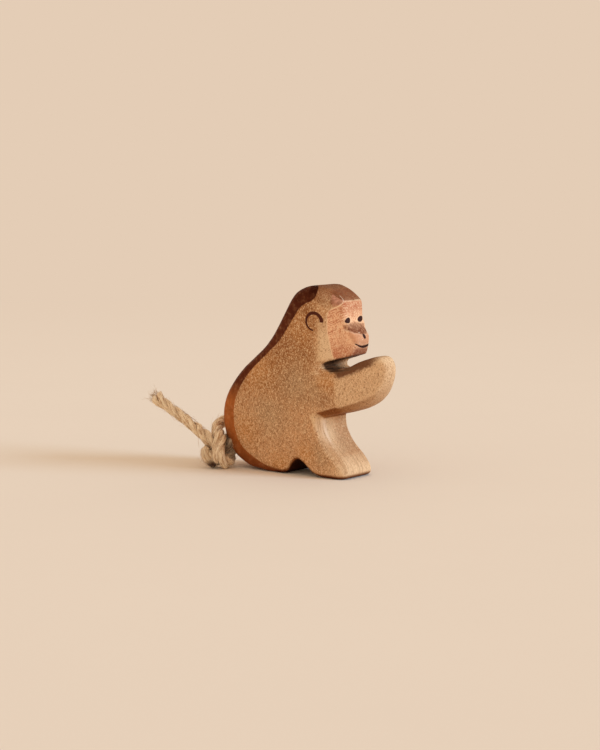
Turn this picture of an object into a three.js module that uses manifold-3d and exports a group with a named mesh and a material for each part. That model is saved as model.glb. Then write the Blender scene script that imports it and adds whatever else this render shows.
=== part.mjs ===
// A small wooden baboon, sawn from one board, whittled by hand, with a tail of knotted jute rope.
//
// Millimetres, +Z up. The baboon faces +X and its left and right sides face +Y and -Y.
// The origin is the middle of the carved wood's footprint, on the surface that it stands on.

import * as THREE from 'three';
import { mergeVertices } from 'three/addons/utils/BufferGeometryUtils.js';
import Module from 'manifold-3d';

// The board
const boardThickness = 22;
const halfThickness = boardThickness / 2;
const figureHeight = 78.8;
const rumpBackX = -41.1;
const handTipX = 41.1;

// How far each knife-cut edge runs in from the outline, how deep it goes into the side, in how many
// facets, and how far the rest of its cutting shape stands clear of the sawn faces
const fineEdge = { inset: 1.2, depth: 1.2, facets: 2, clear: 0 };
const frontEdge = { inset: 3.2, depth: 3.2, facets: 1, clear: 0.15 };
const backEdge = { inset: 7, depth: 3.4, facets: 2, clear: 0.2 };
const handEdge = { inset: 2.4, depth: 2.4, facets: 2, clear: 0.25 };

// The planes that narrow the hand and the face
const handTaper = { startX: 19.6, angle: THREE.MathUtils.degToRad(20) };
const cheekTaper = { startX: 11.5, angle: THREE.MathUtils.degToRad(24.5) };
const neckGapMiddle = new THREE.Vector2(12.1, 46);
const neckGapSlope = 0.25;
const browCut = {
  point: new THREE.Vector3(17.6, 7.6, 73.6),
  outward: new THREE.Vector3(0.42, 0.64, 0.64),
};

// The scooped gouge cut at each end of the neck gap
const gouge = { radius: 5, startX: 12.7, endX: 22.6, z: 45.3, outFromSide: 3.2 };

// The blind hole in the back, and the dried glue at its bottom
const holeRadius = 2.8;
const holeDepth = 10;
const holeZ = 19.5;
const glueThickness = 1;
const gap = 0.3;

// The knotted rope. It leaves the hole backwards, turns towards -Y and goes down into the knot. Its
// free end leaves the knot backwards and rises to the frayed tip. The two directions are from the
// middle of the knot, and the rope stands square on the knot there, for the length of the seat.
const ropeRadius = 2.2;
const knotCentre = new THREE.Vector3(-38.5, -15.6, 7.3);
const knotRadii = new THREE.Vector3(6.6, 6, 7.2);
const knotTop = new THREE.Vector3(-1.6, 2.4, 6);
const knotBack = new THREE.Vector3(-5.2, 0.5, 4.4);
const seatLength = 2.4;
const rootRoute = [
  new THREE.Vector3(-37.9, 0, holeZ), new THREE.Vector3(-42.7, 0, holeZ),
  new THREE.Vector3(-45.8, -2.2, 19.9), new THREE.Vector3(-46, -6.2, 19),
];
const endRoute = [
  new THREE.Vector3(-54.9, -14.4, 17.9), new THREE.Vector3(-64.9, -14.4, 22.9),
  new THREE.Vector3(-74.7, -14.4, 27.8),
];

// Cutting blocks are larger than the figure by this much
const beyond = 60;

// How finely the curves are divided
const stepsPerPoint = 2;
const gougeDivisions = { caps: 6, round: 20 };
const holeSides = 24;
const ropeSides = 8;
const rootSteps = 12;
const endSteps = 8;
const knotDivisions = { round: 20, rings: 14 };

const figureColour = 0xb98655;
const glueColour = 0xd8cba4;
const ropeColour = 0xc9b083;

const at = (x, z) => new THREE.Vector2(x, z);

// Stretches of the sawn outline, in the X-Z plane. Every other outline shares them.
const legFront = [
  at(23.8, 5.4), at(21.2, 8.6), at(17.7, 11.8), at(14.8, 15.1), at(12.6, 19.1), at(11.9, 22.6),
];
const bellyCorner = at(11.8, 25);
const armUnderside = [
  at(16.4, 25.8), at(22, 27.2), at(27.8, 29), at(33.4, 31.8), at(37.8, 36.2), at(40.3, 41.2),
];
const handTip = [at(handTipX, 45.6), at(40.3, 48.6), at(38.3, 50.5), at(35.1, 51)];
const armTop = [at(30.4, 49.7), at(25.5, 48), at(21.5, 46), at(18.1, 44.6), at(15.2, 44.4)];
const neckGapEnd = [at(12.3, 44.7), at(11.5, 46), at(12, 47.4)];
const chinBottom = at(24, 50.8);
const face = [
  at(25.1, 53), at(25.9, 55), at(26.4, 57.2), at(25.9, 59.4), at(24.4, 61.7), at(22.5, 63.9),
  at(21.5, 66), at(21.4, 68.4), at(20.9, 71.4),
];
const crown = [
  at(19.6, 74.2), at(15.8, 76.8), at(11.6, 78.1), at(7.3, figureHeight), at(2.9, 78.2), at(-1.6, 76),
];
const back = [
  at(-4.6, 72.8), at(-8.8, 66), at(-13.1, 58.9), at(-18.1, 52.7), at(-23.9, 47.7), at(-29.8, 42.8),
  at(-34.9, 37.2), at(-38.7, 31.6), at(-40.7, 25.8), at(rumpBackX, 20.5), at(-40.2, 15.3), at(-38.2, 9.6),
];
const rump = [at(-35.1, 5.8), at(-30.7, 3), at(-25.7, 1.4), at(-20.1, 0.5), at(-14.4, 0)];
const rumpCorner = at(-7.1, 0);
const rumpFront = [at(-4.8, 1.2), at(-3.3, 3.7), at(-1.3, 5.9)];
const notchTop = at(0.4, 6.8);
const heel = [at(2.9, 5.5), at(5.4, 3.4), at(7.7, 1.7), at(10.1, 0.5), at(12.5, 0)];
const soleFront = at(22.7, 0);
const toe = [at(24.2, 0.9), at(24.7, 3)];

// Where the other outlines leave the wood and stand clear of it
const clearOfToe = at(25.1, -frontEdge.inset);
const clearOfRump = at(-18.5, -4.7);
const clearOfElbow = at(15.1, 25.6);
const clearOfChin = at(19.6, 46.8);
const belowHand = at(beyond, 10);
const aboveHand = at(beyond, 66);

// The whole outline as it was sawn
function sawnOutline() {
  const outline = new THREE.Shape();
  outline.moveTo(soleFront.x, soleFront.y);
  outline.splineThru([...toe, ...legFront, bellyCorner]);
  outline.splineThru([...armUnderside, ...handTip, ...armTop, ...neckGapEnd]);
  outline.lineTo(chinBottom.x, chinBottom.y);
  outline.splineThru([...face, ...crown, ...back, ...rump]);
  outline.lineTo(rumpCorner.x, rumpCorner.y);
  outline.splineThru([...rumpFront, notchTop]);
  outline.splineThru(heel);
  return outline;
}

// The outline whose front and underarm edges take the wide cut, and whose other sides stand clear
function frontOutline() {
  const outline = new THREE.Shape();
  outline.moveTo(clearOfToe.x, clearOfToe.y);
  outline.lineTo(toe[1].x, toe[1].y);
  outline.splineThru([...legFront, bellyCorner]);
  outline.splineThru([...armUnderside, handTip[0]]);
  outline.lineTo(handTipX + fineEdge.inset, beyond + figureHeight);
  outline.lineTo(-beyond, beyond + figureHeight);
  outline.lineTo(-beyond, -frontEdge.inset);
  return outline;
}

// The outline whose back and crown take the wide sloping cut, and whose other sides stand clear
function backOutline() {
  const outline = new THREE.Shape();
  outline.moveTo(beyond, beyond);
  outline.lineTo(crown[0].x, crown[0].y);
  outline.splineThru([...crown.slice(1), ...back, rump[0], rump[1]]);
  outline.lineTo(clearOfRump.x, clearOfRump.y);
  outline.lineTo(beyond, -beyond);
  return outline;
}

// The outline that the hand and forearm are pared down to from each side
function armOutline() {
  const outline = new THREE.Shape();
  outline.moveTo(-beyond, -beyond);
  outline.lineTo(beyond, -beyond);
  outline.lineTo(belowHand.x, belowHand.y);
  outline.lineTo(clearOfElbow.x, clearOfElbow.y);
  outline.splineThru([...armUnderside, ...handTip, ...armTop.slice(0, 4)]);
  outline.lineTo(clearOfChin.x, clearOfChin.y);
  outline.lineTo(aboveHand.x, aboveHand.y);
  outline.lineTo(beyond, beyond + figureHeight);
  outline.lineTo(-beyond, beyond + figureHeight);
  return outline;
}

// A board cut to an outline, upright in the X-Z plane, its thickness centred on Y = 0
function board(outline, thickness, edge) {
  const geometry = new THREE.ExtrudeGeometry(outline, {
    depth: thickness - 2 * edge.depth,
    curveSegments: stepsPerPoint,
    bevelThickness: edge.depth,
    bevelSize: edge.inset,
    bevelOffset: edge.clear - edge.inset,
    bevelSegments: edge.facets,
  });
  geometry.translate(0, 0, edge.depth - thickness / 2);
  geometry.rotateX(Math.PI / 2);
  return geometry;
}

// A thick board turned about the upright line where the taper starts, so that one of its faces is the
// tapered side. It is narrowed to suit, so that its sawn wall still meets the wood's middle plane on
// the outline. Side is -1 for the side that faces -Y and 1 for the other.
function taperedBoard(outline, taper, edge, side) {
  const geometry = board(outline, beyond, edge);
  geometry.translate(-taper.startX, 0, 0);
  geometry.scale(Math.cos(taper.angle), 1, 1);
  geometry.translate(halfThickness * Math.sin(taper.angle), -side * beyond / 2, 0);
  geometry.rotateZ(-side * taper.angle);
  geometry.translate(taper.startX, side * halfThickness, 0);
  return geometry;
}

// The block that is sliced off one cheek. Its lower face runs out through the gap under the chin.
function cheekSlice(side) {
  const region = new THREE.Shape();
  region.moveTo(0, neckGapMiddle.y);
  region.lineTo(neckGapMiddle.x, neckGapMiddle.y);
  region.lineTo(neckGapMiddle.x + beyond, neckGapMiddle.y + beyond * neckGapSlope);
  region.lineTo(neckGapMiddle.x + beyond, figureHeight + beyond);
  region.lineTo(0, figureHeight + beyond);
  const geometry = new THREE.ExtrudeGeometry(region, { depth: beyond, bevelEnabled: false });
  geometry.rotateX(Math.PI / 2);
  geometry.translate(-cheekTaper.startX, side < 0 ? 0 : beyond, 0);
  geometry.rotateZ(-side * cheekTaper.angle);
  geometry.translate(cheekTaper.startX, side * halfThickness, 0);
  return geometry;
}

// The small slanting cut above each eye, where cheek and crown meet
function browSlice(side) {
  const geometry = new THREE.BoxGeometry(beyond, beyond, beyond);
  geometry.translate(0, 0, beyond / 2);
  const outward = new THREE.Vector3(browCut.outward.x, side * browCut.outward.y, browCut.outward.z);
  const turn = new THREE.Quaternion().setFromUnitVectors(new THREE.Vector3(0, 0, 1), outward.normalize());
  geometry.applyQuaternion(turn);
  geometry.translate(browCut.point.x, side * browCut.point.y, browCut.point.z);
  return geometry;
}

// The round-ended cut of a gouge along one end of the neck gap
function gougeCut(side) {
  const geometry = new THREE.CapsuleGeometry(
    gouge.radius, gouge.endX - gouge.startX, gougeDivisions.caps, gougeDivisions.round,
  );
  geometry.rotateZ(Math.PI / 2);
  const middleX = (gouge.startX + gouge.endX) / 2;
  geometry.translate(middleX, side * (halfThickness + gouge.outFromSide), gouge.z);
  return geometry;
}

// The blind hole for the rope, bored forward into the back
function tailHole() {
  const length = 2 * holeDepth;
  const geometry = new THREE.CylinderGeometry(holeRadius, holeRadius, length, holeSides);
  geometry.rotateZ(Math.PI / 2);
  geometry.translate(rumpBackX + holeDepth - length / 2, 0, holeZ);
  return geometry;
}

const wasm = await Module();
wasm.setup();

function solid(geometry) {
  const bare = geometry.clone();
  bare.deleteAttribute('normal');
  bare.deleteAttribute('uv');
  const merged = mergeVertices(bare);
  const vertProperties = new Float32Array(merged.attributes.position.array);
  const triVerts = new Uint32Array(merged.index.array);
  return new wasm.Manifold(new wasm.Mesh({ numProp: 3, vertProperties, triVerts }));
}

function geometryOf(manifold) {
  const mesh = manifold.getMesh();
  const geometry = new THREE.BufferGeometry();
  geometry.setAttribute('position', new THREE.BufferAttribute(mesh.vertProperties, 3));
  geometry.setIndex(new THREE.BufferAttribute(mesh.triVerts, 1));
  geometry.computeVertexNormals();
  return geometry;
}

// The carved wood: the sawn board, with its edges cut back and its hand and face pared down
function carvedFigure() {
  const sides = [-1, 1];
  let figure = solid(board(sawnOutline(), boardThickness, fineEdge));
  figure = figure.intersect(solid(board(frontOutline(), boardThickness, frontEdge)));
  figure = figure.intersect(solid(board(backOutline(), boardThickness, backEdge)));
  for (const side of sides) {
    figure = figure.intersect(solid(taperedBoard(armOutline(), handTaper, handEdge, side)));
    figure = figure.subtract(solid(cheekSlice(side)));
    figure = figure.subtract(solid(browSlice(side)));
    figure = figure.subtract(solid(gougeCut(side)));
  }
  figure = figure.subtract(solid(tailHole()));
  return geometryOf(figure);
}

// The dried glue at the bottom of the hole
function tailGlue() {
  const radius = holeRadius - gap;
  const geometry = new THREE.CylinderGeometry(radius, radius, glueThickness, holeSides);
  geometry.rotateZ(Math.PI / 2);
  geometry.translate(rumpBackX + holeDepth - gap - glueThickness / 2, 0, holeZ);
  return geometry;
}

// A plain round length of rope along a list of points
function ropeAlong(points, steps) {
  const section = new THREE.Shape();
  section.absarc(0, 0, ropeRadius, 0, 2 * Math.PI);
  return new THREE.ExtrudeGeometry(section, {
    curveSegments: ropeSides,
    steps,
    extrudePath: new THREE.CatmullRomCurve3(points, false, 'centripetal'),
  });
}

// A point outside the knot, square to its surface, where a ray from its centre comes out
function offKnot(direction, distance) {
  const ray = direction.clone().divide(knotRadii);
  const onSurface = direction.clone().divideScalar(ray.length());
  const outward = onSurface.clone().divide(knotRadii).divide(knotRadii).normalize();
  return onSurface.addScaledVector(outward, distance).add(knotCentre);
}

// From the glue at the bottom of the hole, out of the back and down to the knot
function ropeRoot() {
  const inHole = new THREE.Vector3(rumpBackX + holeDepth - glueThickness - 2 * gap, 0, holeZ);
  const seat = [offKnot(knotTop, seatLength), offKnot(knotTop, gap)];
  return ropeAlong([inHole, ...rootRoute, ...seat], rootSteps);
}

// From the knot, backwards and up to the frayed tip
function ropeEnd() {
  const seat = [offKnot(knotBack, gap), offKnot(knotBack, seatLength)];
  return ropeAlong([...seat, ...endRoute], endSteps);
}

// The outer shape of the knot
function knot() {
  const geometry = new THREE.SphereGeometry(1, knotDivisions.round, knotDivisions.rings);
  geometry.rotateX(Math.PI / 2);
  geometry.scale(knotRadii.x, knotRadii.y, knotRadii.z);
  geometry.translate(knotCentre.x, knotCentre.y, knotCentre.z);
  return geometry;
}

function piece(name, geometry, color, roughness) {
  const mesh = new THREE.Mesh(geometry, new THREE.MeshStandardMaterial({ color, roughness, metalness: 0 }));
  mesh.name = name;
  return mesh;
}

const baboon = new THREE.Group();
baboon.add(piece('carved_figure', carvedFigure(), figureColour, 0.6));
baboon.add(piece('tail_glue', tailGlue(), glueColour, 0.5));
baboon.add(piece('tail_rope_root', ropeRoot(), ropeColour, 0.95));
baboon.add(piece('tail_knot', knot(), ropeColour, 0.95));
baboon.add(piece('tail_rope_end', ropeEnd(), ropeColour, 0.95));

export default baboon;
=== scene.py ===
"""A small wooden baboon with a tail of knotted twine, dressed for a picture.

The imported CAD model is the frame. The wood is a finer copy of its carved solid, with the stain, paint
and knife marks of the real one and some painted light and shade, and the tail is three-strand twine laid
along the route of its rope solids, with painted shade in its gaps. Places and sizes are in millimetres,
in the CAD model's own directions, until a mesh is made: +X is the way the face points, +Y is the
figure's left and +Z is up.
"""

import math
import random

import bmesh
import bpy
import numpy as np
from bpy.props import FloatProperty, FloatVectorProperty, IntProperty, PointerProperty
from bpy.types import Operator, Panel, PropertyGroup
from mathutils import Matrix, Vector, kdtree, noise


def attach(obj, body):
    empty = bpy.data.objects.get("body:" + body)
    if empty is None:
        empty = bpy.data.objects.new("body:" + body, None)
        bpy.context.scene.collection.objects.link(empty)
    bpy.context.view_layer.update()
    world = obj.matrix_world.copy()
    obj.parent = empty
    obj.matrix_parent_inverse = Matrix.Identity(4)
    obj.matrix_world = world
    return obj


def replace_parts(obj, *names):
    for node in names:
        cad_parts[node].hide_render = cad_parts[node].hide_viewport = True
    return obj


bl_info = {
    "name": "Wooden baboon",
    "version": (1, 0, 0),
    "blender": (4, 5, 0),
    "location": "3D View > Sidebar > Baboon",
    "description": "Builds a whittled wooden baboon with a twine tail on its CAD frame",
    "category": "Object",
}

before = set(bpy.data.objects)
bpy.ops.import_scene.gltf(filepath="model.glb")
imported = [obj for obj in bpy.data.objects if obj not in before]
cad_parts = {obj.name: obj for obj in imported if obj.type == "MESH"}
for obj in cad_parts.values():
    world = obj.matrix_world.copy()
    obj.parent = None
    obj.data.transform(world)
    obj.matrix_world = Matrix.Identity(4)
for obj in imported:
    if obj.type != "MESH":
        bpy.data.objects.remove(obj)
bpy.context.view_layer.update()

MM = 0.001


def srgb(red, green, blue):
    """A colour given in 0 to 255, as the linear colour that Blender works in."""
    shares = np.array([red, green, blue]) / 255
    linear = np.where(shares <= 0.04045, shares / 12.92, ((shares + 0.055) / 1.055) ** 2.4)
    return tuple(float(share) for share in linear)


# Points between two places that a smooth line goes through, before they are evenly spaced
POINTS_PER_SPAN = 12

# Where the camera stands and looks
CAMERA_TARGET = (-6.3, 0, 40.36)
CAMERA_AZIMUTH = 37
CAMERA_ELEVATION = 6.5
CAMERA_DISTANCE = 795
CAMERA_LENS = 91.2

# The floor's radius, and where it fades into the backdrop's colour
FLOOR_RADIUS = 20000
BACKDROP_REACH = (200, 1000)

# The tail's route, repeated from the CAD source. The sag is how far each place of the root hangs
# below it, as limp twine does.
HOLE_MOUTH = (-41.1, 0, 19.5)
ROOT_ROUTE = (
    (-32.7, 0, 19.5), (-37.9, 0, 19.5), (-42.7, 0, 19.5), (-45.8, -2.2, 19.9), (-46, -6.2, 19),
    (-40.8, -11.9, 15.6),
)
ROOT_SAG = (0, 0, 0.3, 2.2, 2.8, 2.2)
END_ROUTE = (
    (-45.6, -14.9, 13.1), (-54.9, -14.4, 17.9), (-64.9, -14.4, 22.9), (-74.7, -14.4, 27.8),
)

# The overhand knot between them, laid loosely. Each place is right, up and towards the camera from
# the knot's middle.
KNOT_MIDDLE = (-38.2, -15.4, 6.2)
KNOT_ROUTE = (
    (0.6, 8.4, -0.4), (0.4, 5.2, 2.2), (-0.1, 1.6, 4.4), (0.3, -2.2, 5.0), (1.6, -5.2, 3.4),
    (2.8, -5.9, -0.6), (4.4, -2.4, -3.6), (5.0, 3.2, -4.2), (4.4, 8.2, -5.0), (0.2, 7.6, -7.2),
    (-3.0, 4.0, -4.8), (-3.2, -0.2, 0.2), (-2.6, -4.0, 1.2), (-0.8, -5.6, -1.0), (0.9, -3.4, -2.2),
    (0.4, 0.6, -1.8), (-1.4, 4.2, -1.8), (-3.8, 6.2, -3.0),
)

# How much thicker the twine looks than its core, by its distance in mm from the tip
LOOSENESS = (
    (0, 1.3), (3, 1.16), (9, 1.02), (20, 1.02), (29, 1.12), (36, 1.22), (60, 1.18), (69, 1.2), (75, 1.35),
    (82, 1.3), (94, 1.2), (101, 1.12), (125, 1.1),
)

# Stray bundles of fibre on the knot, in the knot's own directions
STRAYS = (
    ((-2.3, 10.4, 2.6), (-2.5, 7.4, 4.4), (-2.6, 3.6, 5.6), (-2.6, 0.4, 5.9), (-2.1, -3.4, 5.8)),
    ((-6.0, 10.2, -1.0), (-8.2, 8.8, -0.4), (-8.4, 5.6, 0.4), (-8.0, 2.4, 1.2)),
    ((-4.8, 4.4, 3.2), (-5.9, 1.4, 3.6), (-6.6, -2.2, 3.4), (-7.6, -4.2, 3.0)),
    ((0.6, 1.4, 7.0), (2.0, -0.4, 7.0), (2.4, -2.8, 6.9), (1.2, -4.8, 5.6)),
    ((-1.4, 2.2, 6.6), (0.2, 3.4, 6.6), (2.2, 2.0, 6.2), (2.8, -0.6, 5.8)),
)
STRAY_THICKNESS = 0.13
STRAY_STEP = 0.6

# Where painted shade darkens the knot, in the rump's shadow and between its turns: places in its own
# directions, their reach and how dark the shade is
KNOT_SHADE = (
    ((5.8, 1.5, -3.0), 6.4, 0.8), ((-2.6, -6.0, 1.5), 4.6, 1.0), ((3.0, 7.4, -3.0), 4.6, 0.9),
    ((-5.2, -1.6, 2.2), 5, 0.1),
)

# Where the three strands lie in the twine and how thick they are, as shares of its radius
STRAND_OFFSET = 0.47
STRAND_RADIUS = 0.56
STRAND_SIDES = 20

# How many rings each strand stops short of the tip
TIP_CUTS = (0, 5, 2)

# How far the strands wander round the twine, in radians, and how high their bundles of fibre and their
# lumps are, as shares of their radius. Each is so many to the millimetre. The shifts keep the strands
# from being alike.
STRAND_WANDER = 0.7
WANDERS_PER_MM = 0.12
WANDER_SHIFT = 5.1
BUNDLE_HEIGHT = 0.16
BUNDLES_PER_MM = 0.16
BUNDLES_AROUND = 2.2
LUMP_HEIGHT = 0.12
LUMPS_PER_MM = 0.45
LUMP_SHIFT = 9
FIBRE_SHIFT = 20

# At the tip the strands part, over so many mm, and each ends bluntly
SPLAY = 0.5
SPLAY_LENGTH = 5
TAPER_LENGTH = 1.4
BLUNT_END = 0.5

# Single fibres: their thickness in mm, and how much they taper, bend and wander
FIBRE_SEED = 11
FIBRE_THICKNESS = (0.03, 0.075)
FIBRE_TAPER = 0.6
FIBRE_POINTS = 6
FIBRE_BEND = 0.35
FIBRE_WANDER = 0.12

# Fibres that run along the twine: how many points they have, how far round it they go, and how far
# they lift off it. Most lift little.
HUG_POINTS = (6, 16)
HUG_DRIFT = (0.3, 1.3)
HUG_DEPTH = 0.97
LOW_LIFT = (0, 0.35)
HIGH_LIFT = (0.5, 1.8)
LOW_LIFTS = 0.75

# Fibres that fray from the tip: where they start in it, how far they lean out and how long they are.
# Most are short.
FRAY_START = (0.1, 0.9)
FRAY_LEAN = (0, 0.8)
SHORT_FRAY = (0.8, 2.4)
LONG_FRAY = (3, 6)
SHORT_FRAYS = 0.92

# Loose fibres start outside the wood, beyond the hole's mouth or past this y, and none ends past this x
FIBRES_PAST_Y = -8
FIBRES_END_X = -30

# How the knot is pulled up: how hard it pulls, resists a bend and pushes its turns apart in each round,
# and how much of the twine, in contact distances, lies between two turns that can touch
KNOT_ROUNDS = 160
KNOT_PULL = 0.5
KNOT_STIFFNESS = 0.25
KNOT_PUSH = 0.5
TURN_GAP = 1.25
CREVICE_GAP = 1.4

# How near the turns of the knot press, and how far the twine stays off the floor, in mm
KNOT_CONTACT = 4.5
FLOOR_CLEARANCE = 0.05

# How far apart the points of the twine's middle line are
TAIL_STEP = 0.5

# The inner border of the dark band along the back, from the crown to under the rump, then round
# behind the figure. Places on the sides are (x, z).
BAND_BORDER = (
    (8.6, 80), (9.3, 78.2), (9.9, 76.6), (9.5, 74.4), (7.6, 72.7), (5.2, 71.7), (2.9, 70.4), (0.7, 68.3),
    (-1.1, 65.7), (-3.7, 62.3), (-6.8, 58.0), (-9.9, 54.5), (-14.1, 50.9), (-18.4, 47.3), (-22.6, 43.6),
    (-26.1, 40.0), (-29.1, 35.9), (-31.3, 31.9), (-32.6, 28.0), (-33.1, 23.7), (-32.9, 19.4),
    (-32.0, 15.2), (-30.2, 11.6), (-27.1, 8.2), (-22.9, 5.8), (-18.2, 3.7), (-11.5, 1.4),
)
BAND_BEHIND = ((-11.5, -5), (-60, -5), (-60, 90), (8.6, 90))

# On the head's top the band stops further back: where that begins, how wide the top is, and by how much
BAND_TOP = 75
BAND_TOP_HALF_WIDTH = 8
BAND_RECEDES = 0.9

# The painted face, from the brow down its rear border to the chin, then round in front of it
FACE_BORDER = (
    (20.6, 73.2), (19.8, 71.4), (17.7, 70.3), (15.7, 69.2), (14.8, 67.5), (14.6, 64), (14.8, 59.6),
    (15.5, 56.2), (16.3, 52.4), (17.3, 48.6),
)
FACE_IN_FRONT = ((23, 49.6), (27, 51), (32, 56), (32, 73.2))

# The brown cap over the brow
CAP_BORDER = (
    (13.9, 82), (14.3, 76.6), (15.7, 74.4), (16.1, 71.6), (18.4, 71.1), (20.3, 71.6), (20.6, 73), (32, 73),
)
CAP_ABOVE = ((32, 82),)

# The thinner stain on the crown, between the band and the cap
CROWN_BORDER = ((6, 80), (7.4, 73.8), (9.6, 72.6), (12.6, 71.6), (16.2, 71), (21, 72.6))
CROWN_ABOVE = ((24, 76), (24, 82), (6, 82))

# The muzzle's paler sides: painted light where they turn towards the front
MUZZLE_BORDER = (
    (22.6, 61.6), (24.6, 60.9), (26.6, 59.9), (29, 59), (29, 55.6), (26, 55.2), (24.6, 56.4), (23.2, 58.6),
)

# The gap between chin and arm, darkened by burn and painted shade, drawn slightly larger than it is
GAP_BORDER = ((10.8, 46), (11.6, 43.9), (15.2, 43.7), (18.4, 44), (23.6, 46.2), (24.4, 50.8), (11.4, 47.9))

# The arm's upper edge, stained and darkened by painted shade from the head
ARM_EDGE_BORDER = (
    (18.6, 43.2), (19.6, 42.2), (21.2, 41.8), (23.6, 42.7), (26.6, 43.8), (29.6, 45.3), (33.4, 47.0),
    (36, 49.0), (38, 51), (34, 52.5), (24, 47.5), (18.6, 45.6),
)

# The grey stroke across each end of the gap: (x, height, half thickness). It starts at this
# distance from the board's middle.
STROKE = (
    (10.4, 44.6, -1.7), (13.4, 44.6, 0.1), (16.4, 44.5, 1.3), (20, 44.6, 1.2), (26, 45.6, 0.6),
    (30, 47, -0.4),
)
STROKE_FROM_SIDE = 5

# Pale torn wood at the stroke's end, on each side, as ovals: middle, half sizes and turn
TORN = (
    ((10.4, -10.4, 43.1), (1.5, 3, 0.2), 0.0), ((9.3, -10.4, 43.9), (1.3, 3, 0.16), 0.0),
    ((11.6, -10.2, 45.1), (1.1, 3, 0.14), 0.0), ((11.0, -10.4, 46.3), (0.9, 3, 0.15), 0.0),
    ((8.6, -10.4, 42.6), (1.2, 3, 0.22), 0.0),
)

# The ear's ring, on each side. It thins from one angle on, and is drawn only beyond a distance
# from the board's middle.
EAR_MIDDLE = (8.85, 64.3)
EAR_HALF_WIDTH = 3.7
EAR_HALF_HEIGHT = 3.55
EAR_THICK = 0.7
EAR_THIN = 0.36
EAR_START = math.radians(-4)
EAR_END = math.radians(268)
EAR_THINS = math.radians(80)
EAR_SIDE = 8.5

# Marks on the front of the face: middle, half sizes along x, y and z, and turn. The eyes' rims are so
# many times larger. The mouth is a line that rises from its lowest place, given as (y, z).
EYE_RIM = 1.4
EYES = (
    ((21.9, -4.9, 65.05), (4, 1.62, 0.98), math.radians(-27)),
    ((21.8, 3.5, 65.15), (4, 2.2, 1.02), math.radians(-19)),
)
NOSE = ((26.2, 0.4, 58.45), (2, 0.85, 1.25), math.radians(-38))
MOUTH_LOW = (0.7, 54.15)
MOUTH_RISE = 0.05
MOUTH_RIGHT_END = -4.8
MOUTH_LEFT_END = 4.6
MOUTH_THIN = 0.26
MOUTH_THICK = 0.62
MOUTH_FADE = 0.4

# The nose's brown bridge on the front of the face, as (y, z), and the x where the front begins
FRONT_FROM = 20
BRIDGE_BORDER = (
    (-6.9, 63.0), (-5.2, 63.9), (-1.5, 64.3), (1.7, 63.9), (5, 63.2), (5, 60.3), (2.6, 59.3), (-0.5, 59.2),
    (-2.7, 59.7), (-4.6, 60.2), (-6.2, 61.1),
)

# Thin pale lines where the knife's edges catch the light: on the brow's facet and beside the nostril
SHINE = ((20.35, -6.2, 71.9), (20.25, -5.8, 72.8), (19.3, -5.6, 74.0), (18.2, -5.7, 74.9))
SHINE_STEP = 0.2
SHINE_SPOTS = ((26.1, -0.5, 58.1), (26.2, -1.2, 57.2), (25.9, -2.6, 55.8), (25.4, -2.2, 60.1))

# The flat cut beside the brow, on the figure's right, where a sheen is painted
FACET_BORDER = ((15.5, 75.5), (20.5, 72.9), (20.7, 71.3), (16.9, 70.6))

# Scratches on the face: how they lean, how they are stretched and how strong they are
SCRATCHES = (
    (math.radians(24), (0.14, 0.3, 3.0), 1.0), (math.radians(29), (3.6, 0.4, 0.2), 0.6),
)

# Places that are rounded by handling: the hands, and the face from brow to chin
ROUNDED = (
    ((38, 0, 44), 11), ((34, -5, 42), 7), ((34, 5, 42), 7), ((22, -6.5, 68), 6), ((24.5, -5, 57), 5),
    ((22, 6.5, 68), 4), ((24.5, 5, 57), 3), ((17, 0, 78), 5), ((21.4, -2, 72.6), 5),
)

# How high the rounding of the edges that stand on the floor reaches
LOW_ROUNDING = 2

# How many times the whittled cuts are eased again
CUTS_SOFTENING = 3

# How steeply a rounded place fades out towards its radius
ROUNDING_FADE = 1.6

# Half the board's thickness
HALF_THICKNESS = 11

# The depth given to a place where a border doesn't count, and the distance where nothing is near
OUTSIDE = -5
FAR_AWAY = 99

# How many of the knife's waves there are to the millimetre along x, y and z
WAVES_PER_MM = np.array((0.22, 0.3, 0.22))

# The angle from which an edge of the solid counts as a knife-cut ridge, and how finely it is followed
RIDGE_ANGLE = math.radians(24)
RIDGE_STEP = 0.3

# Flat facets left by single cuts of the knife: a place on each, its outward direction and its reach
DEEPEST_SLICE = 2.2
FACETS = (
    ((18.3, -7.3, 73.1), (0.55, -0.74, 0.39), 3.6),
    ((24.2, -3.3, 61.2), (0.76, -0.38, 0.52), 3.4),
    ((24.2, 3.3, 61.2), (0.76, 0.34, 0.54), 3.2),
)

# The wide bevel under each arm: the line on the side where it starts, as (x, z), its slope, how far
# down it goes, the arm's lowest place and the least that is left of its half thickness
ARM_BEVEL = (
    (18, 27), (20.7, 29.4), (24.3, 30.8), (27.8, 32.0), (31.4, 33.6), (35.0, 35.6), (37.6, 37.6),
    (42, 42),
)
ARM_BEVEL_SLOPE = 0.85
ARM_BEVEL_DEPTH = 6
ARM_LOWEST = 26
ARM_THINNEST = 0.5

# Where the arm's sides start to come together towards the hand, and how much
ARM_SIDE_START = 19.6
ARM_SIDE_TAPER = math.radians(20)

# How steeply a place looks down where the painted shade below begins and where it is full
LOOKS_DOWN = (0.12, 0.52)

# Under the arm the painted shade starts below a line on the side: its rear end, as (x, z), its slope, its
# front end, how far below its rear end it counts and how sharp it is
TUCK_START = (8.1, 25.9)
TUCK_SLOPE = 0.35
TUCK_END = 19.5
TUCK_BELOW = 2
TUCK_SHARPNESS = 2

# Along the arm the painted shade below fades towards the hand, from all of it to a quarter
SHADE_FADES = ((20, 38), (1, 0.25))

# Where the pale front of the legs begins on the sides, as (x, z). Its near half is worn and partly painted
# light, and its far half gets painted shade
LEG_EDGE = ((30, -5), (21.6, 3.3), (14.4, 10.8), (10.6, 17.5), (7.2, 24.4), (6.2, 27))

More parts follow.
